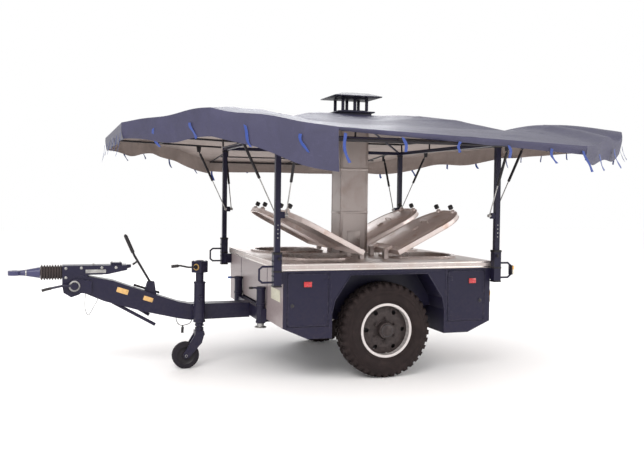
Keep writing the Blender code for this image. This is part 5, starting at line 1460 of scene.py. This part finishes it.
class TRAILER_OT_jockey_fittings(bpy.types.Operator):
    """Add the jockey's brass ring, collars, crank grip and tube clamp, and its wheel's discs and nuts"""
    bl_idname = "trailer.add_jockey_fittings"
    bl_label = "Jockey fittings"

    def execute(self, context):
        post = at(JOCKEY_X, JOCKEY_Y, 0)
        out = Vector((-math.sqrt(0.5), -math.sqrt(0.5), 0))
        face = post + Vector((0, 0, 1.0595)) + out * 0.060
        ring = turned([(0.024, 0.0), (0.024, 0.006), (0.033, 0.006), (0.036, 0.0)], face, out, 32)
        dress(ring, "gear_ring", "brass", "chassis")
        lid = [(0.0, 0.010), (0.030, 0.009), (0.044, 0.003), (0.046, 0.0)]
        cover = [turned(lid, post + Vector((0, 0, 1.119)), UP, 32)]
        for x, y in ((0, -0.066), (-0.066, 0), (0, 0.066), (0.066, 0)):
            spot = post + Vector((x, y, 1.118))
            cover.append(bar(spot, spot + Vector((0, 0, 0.006)), 0.006, 6, 0.0008))
        wide = [(0.0583, -0.010), (0.063, -0.008), (0.063, 0.008), (0.0583, 0.010)]
        slim = [(0.0424, -0.008), (0.047, -0.006), (0.047, 0.006), (0.0424, 0.008)]
        cover += [turned(collar, post + Vector((0, 0, z)), UP, 32)
                  for collar, z in ((wide, 0.490), (wide, 0.893), (slim, 0.449))]
        cover.append(block(post + Vector((-0.016, -0.092, 0.700)), post + Vector((0.016, -0.055, 0.760)),
                           0.003))
        cover.append(bar(post + Vector((0, -0.085, 0.730)), post + Vector((0, -0.110, 0.730)), 0.008, 12))
        cover.append(bar(post + Vector((-0.035, -0.106, 0.730)), post + Vector((0.035, -0.106, 0.730)), 0.006,
                         12))
        dress(joined(cover), "jockey_collars", "navy", "chassis")
        start = face + out * 0.022

        def along(share):
            """A place on the crank's grip, from its inner to its outer end."""
            return start + Vector((-0.168 - 0.068 * share, 0.0325 + 0.009 * share, 0.0141 - 0.0073 * share))

        sleeve = bar(along(0), along(1), 0.0155, 20, 0.004)
        rings = [bar(along(s), along(s + 0.06), 0.0165, 20, 0.001) for s in (0.15, 0.35, 0.55, 0.75)]
        dress(joined([sleeve, *rings]), "crank_grip", "grip", "jockey_crank")
        hub = at(-1.857, JOCKEY_Y, 0.140)
        disc = [(0.0125, 0.0385), (0.030, 0.0385), (0.034, 0.034), (0.052, 0.031), (0.080, 0.031),
                (0.090, 0.0385), (0.092, 0.0380)]
        parts = [turned(disc, hub, (0, side, 0), 40) for side in (-1, 1)]
        dress(joined(parts), "jockey_disc", "black", "jockey_wheel")
        nuts = [bar(hub + Vector((0, side * 0.062, 0)), hub + Vector((0, side * 0.0695, 0)), 0.016, 6, 0.001)
                for side in (-1, 1)]
        dress(joined(nuts), "jockey_nuts", "steel", "jockey_fork", 30)
        return {"FINISHED"}


# ---- cords ----
def smooth_line(points, spacing):
    """Points at an even spacing along a smooth curve through the given ones."""
    points = [Vector(p) for p in points]
    padded = [points[0] * 2 - points[1]] + points + [points[-1] * 2 - points[-2]]
    fine = []
    for a, b, c, d in zip(padded, padded[1:], padded[2:], padded[3:]):
        for i in range(40):
            t = i / 40
            fine.append(0.5 * (2 * b + (c - a) * t + (2 * a - 5 * b + 4 * c - d) * t * t
                               + (3 * b - 3 * c + d - a) * t * t * t))
    fine.append(points[-1])
    length = sum((q - p).length for p, q in zip(fine, fine[1:]))
    count = max(4, round(length / spacing))
    route = [fine[0]]
    walked = 0.0
    for p, q in zip(fine, fine[1:]):
        step = (q - p).length
        while len(route) < count and walked + step >= length * len(route) / count:
            route.append(p.lerp(q, (length * len(route) / count - walked) / step))
        walked += step
    return route + [points[-1]]


BRAKE_CABLE_ROUTE = (
    (-2.862, -0.100, 0.8030), (-2.862, -0.100, 0.770), (-2.866, -0.099, 0.700), (-2.860, -0.097, 0.630),
    (-2.834, -0.094, 0.580), (-2.804, -0.090, 0.615), (-2.772, -0.084, 0.675), (-2.746, -0.080, 0.720),
    (-2.741, -0.080, 0.7424),
)
LEAD_ROUTE = (
    (-1.940, -0.050, 0.5164), (-1.939, -0.050, 0.495), (-1.920, -0.051, 0.452), (-1.888, -0.052, 0.434),
    (-1.850, -0.052, 0.436), (-1.802, -0.051, 0.450), (-1.781, -0.050, 0.474), (-1.780, -0.050, 0.4922),
)


class TRAILER_OT_cords(bpy.types.Operator):
    """Hang the safety cable and the lighting lead under the drawbar"""
    bl_idname = "trailer.add_cords"
    bl_label = "Cords"

    def execute(self, context):
        for name, diameter, route, with_pieces in (
            ("brake_cable", 0.006, BRAKE_CABLE_ROUTE, ()),
            ("light_lead", 0.008, LEAD_ROUTE, ("lead_plug",)),
        ):
            points = smooth_line([at(*p) for p in route], 0.004)
            piece = curved(name + "_line", points, diameter / 2, 4)
            piece.data.materials.append(finishes["plastic"])
            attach(piece, "chassis")
            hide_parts(name)
            length = sum((b - a).length for a, b in zip(points, points[1:]))
        return {"FINISHED"}


# ---- finishes and stage ----
class TRAILER_OT_finishes(bpy.types.Operator):
    """Give every CAD solid its finish"""
    bl_idname = "trailer.add_finishes"
    bl_label = "Finishes of the solids"

    def execute(self, context):
        make_finishes()
        for name, key in solid_finishes().items():
            for slot in bpy.data.objects[name].material_slots:
                slot.link = "OBJECT"
                slot.material = finishes[key]
        return {"FINISHED"}


EYE_PLACE = (-2.710, -8.649, 1.847)
EYE_YAW, EYE_PITCH, EYE_ROLL = 0.319, -0.0258, 0.0132
LENS = 45.63
SHIFT_Y = -0.0318


def shade_world():
    """A white surround for the eye and for gloss, and a soft light for the trailer."""
    world = bpy.data.worlds.new("surround")
    world.use_nodes = True
    tree = world.node_tree
    tree.nodes.clear()
    kinds = ("OutputWorld", "Background", "Background", "LightPath", "Math", "Math", "MixShader")
    out, lit, seen, path, either, glass, swap = (tree.nodes.new("ShaderNode" + kind) for kind in kinds)
    seen.inputs["Color"].default_value = (1, 1, 1, 1)
    lit.inputs["Color"].default_value = (1.0, 0.982, 0.978, 1)
    lit.inputs["Strength"].default_value = 1.05
    either.operation = glass.operation = "MAXIMUM"
    for source, socket in (
        (path.outputs["Is Camera Ray"], either.inputs[0]), (path.outputs["Is Glossy Ray"], either.inputs[1]),
        (either.outputs[0], glass.inputs[0]), (path.outputs["Is Transmission Ray"], glass.inputs[1]),
        (glass.outputs[0], swap.inputs[0]), (lit.outputs[0], swap.inputs[1]), (seen.outputs[0], swap.inputs[2]),
        (swap.outputs[0], out.inputs["Surface"]),
    ):
        tree.links.new(source, socket)
    bpy.context.scene.world = world


class TRAILER_OT_stage(bpy.types.Operator):
    """Set the floor, the soft lights, the white surround and the camera"""
    bl_idname = "trailer.add_stage"
    bl_label = "Stage"

    def execute(self, context):
        scene = context.scene
        deselect()
        bpy.ops.mesh.primitive_plane_add(size=60, location=(0, 0, 0))
        floor = context.object
        floor.name = "floor"
        look = Finish("floor_white", specular_ior_level=0.1)
        floor.data.materials.append(look.wear(base_color=(0.975, 0.975, 0.975), roughness=0.85))
        for name, place, aim, size, power, color in (
            ("key_light", (-4.5, -7.5, 7.0), (0, 0, 1.0), 5.0, 620, (1.0, 0.985, 0.97)),
            ("fill_light", (7.5, -6.0, 4.0), (0.5, 0, 1.2), 5.0, 240, (1.0, 0.98, 0.96)),
            ("back_light", (1.5, 8.0, 6.0), (0, 0, 1.2), 6.0, 420, (0.98, 0.99, 1.0)),
        ):
            data = bpy.data.lights.new(name, "AREA")
            data.energy = power
            data.size = size
            data.color = color
            lamp = linked(name, data)
            lamp.location = place
            lamp.rotation_euler = (Vector(aim) - Vector(place)).to_track_quat("-Z", "Y").to_euler()
        shade_world()
        camera = bpy.data.cameras.new("camera")
        camera.sensor_width = 36
        camera.lens = LENS
        camera.shift_y = SHIFT_Y
        camera.clip_end = 200
        eye = linked("camera", camera)
        level = math.cos(EYE_PITCH)
        forward = Vector((math.sin(EYE_YAW) * level, math.cos(EYE_YAW) * level, math.sin(EYE_PITCH)))
        across = forward.cross(Vector(UP)).normalized()
        up = across.cross(forward)
        right = across * math.cos(EYE_ROLL) + up * math.sin(EYE_ROLL)
        top = up * math.cos(EYE_ROLL) - across * math.sin(EYE_ROLL)
        eye.matrix_world = Matrix.Translation(EYE_PLACE) @ Matrix(
            (right, top, -forward)).transposed().to_4x4()
        scene.camera = eye
        scene.view_settings.view_transform = "Standard"
        return {"FINISHED"}


# ---- panel ----
STEPS = (
    TRAILER_OT_finishes, TRAILER_OT_canopy, TRAILER_OT_flap_frames, TRAILER_OT_straps, TRAILER_OT_tyres,
    TRAILER_OT_wheel_fittings, TRAILER_OT_worktop_trim, TRAILER_OT_lid_fittings, TRAILER_OT_flue_details,
    TRAILER_OT_body_fittings, TRAILER_OT_frame_fittings, TRAILER_OT_tow_fittings, TRAILER_OT_jockey_fittings,
    TRAILER_OT_cords, TRAILER_OT_stage,
)


class TRAILER_PT_panel(bpy.types.Panel):
    """The trailer's settings and steps"""
    bl_idname = "TRAILER_PT_panel"
    bl_label = "Field kitchen trailer"
    bl_space_type = "VIEW_3D"
    bl_region_type = "UI"
    bl_category = "Trailer"

    def draw(self, context):
        for settings in (context.scene.trailer_paint, context.scene.trailer_canopy,
                         context.scene.trailer_wheels):
            column = self.layout.column(align=True)
            for key in settings.__annotations__:
                column.prop(settings, key)
        for step in STEPS:
            self.layout.operator(step.bl_idname)


CLASSES = (TrailerPaint, TrailerCanopy, TrailerWheels, *STEPS, TRAILER_PT_panel)


def register():
    """Register the classes and the scene's settings."""
    for item in CLASSES:
        bpy.utils.register_class(item)
    bpy.types.Scene.trailer_paint = bpy.props.PointerProperty(type=TrailerPaint)
    bpy.types.Scene.trailer_canopy = bpy.props.PointerProperty(type=TrailerCanopy)
    bpy.types.Scene.trailer_wheels = bpy.props.PointerProperty(type=TrailerWheels)


def unregister():
    """Take the settings and the classes away again."""
    for name in ("trailer_paint", "trailer_canopy", "trailer_wheels"):
        delattr(bpy.types.Scene, name)
    for item in reversed(CLASSES):
        bpy.utils.unregister_class(item)


def main():
    """Run every step in order."""
    register()
    for step in STEPS:
        group, name = step.bl_idname.split(".")
        getattr(getattr(bpy.ops, group), name)()


if __name__ == "__main__":
    main()
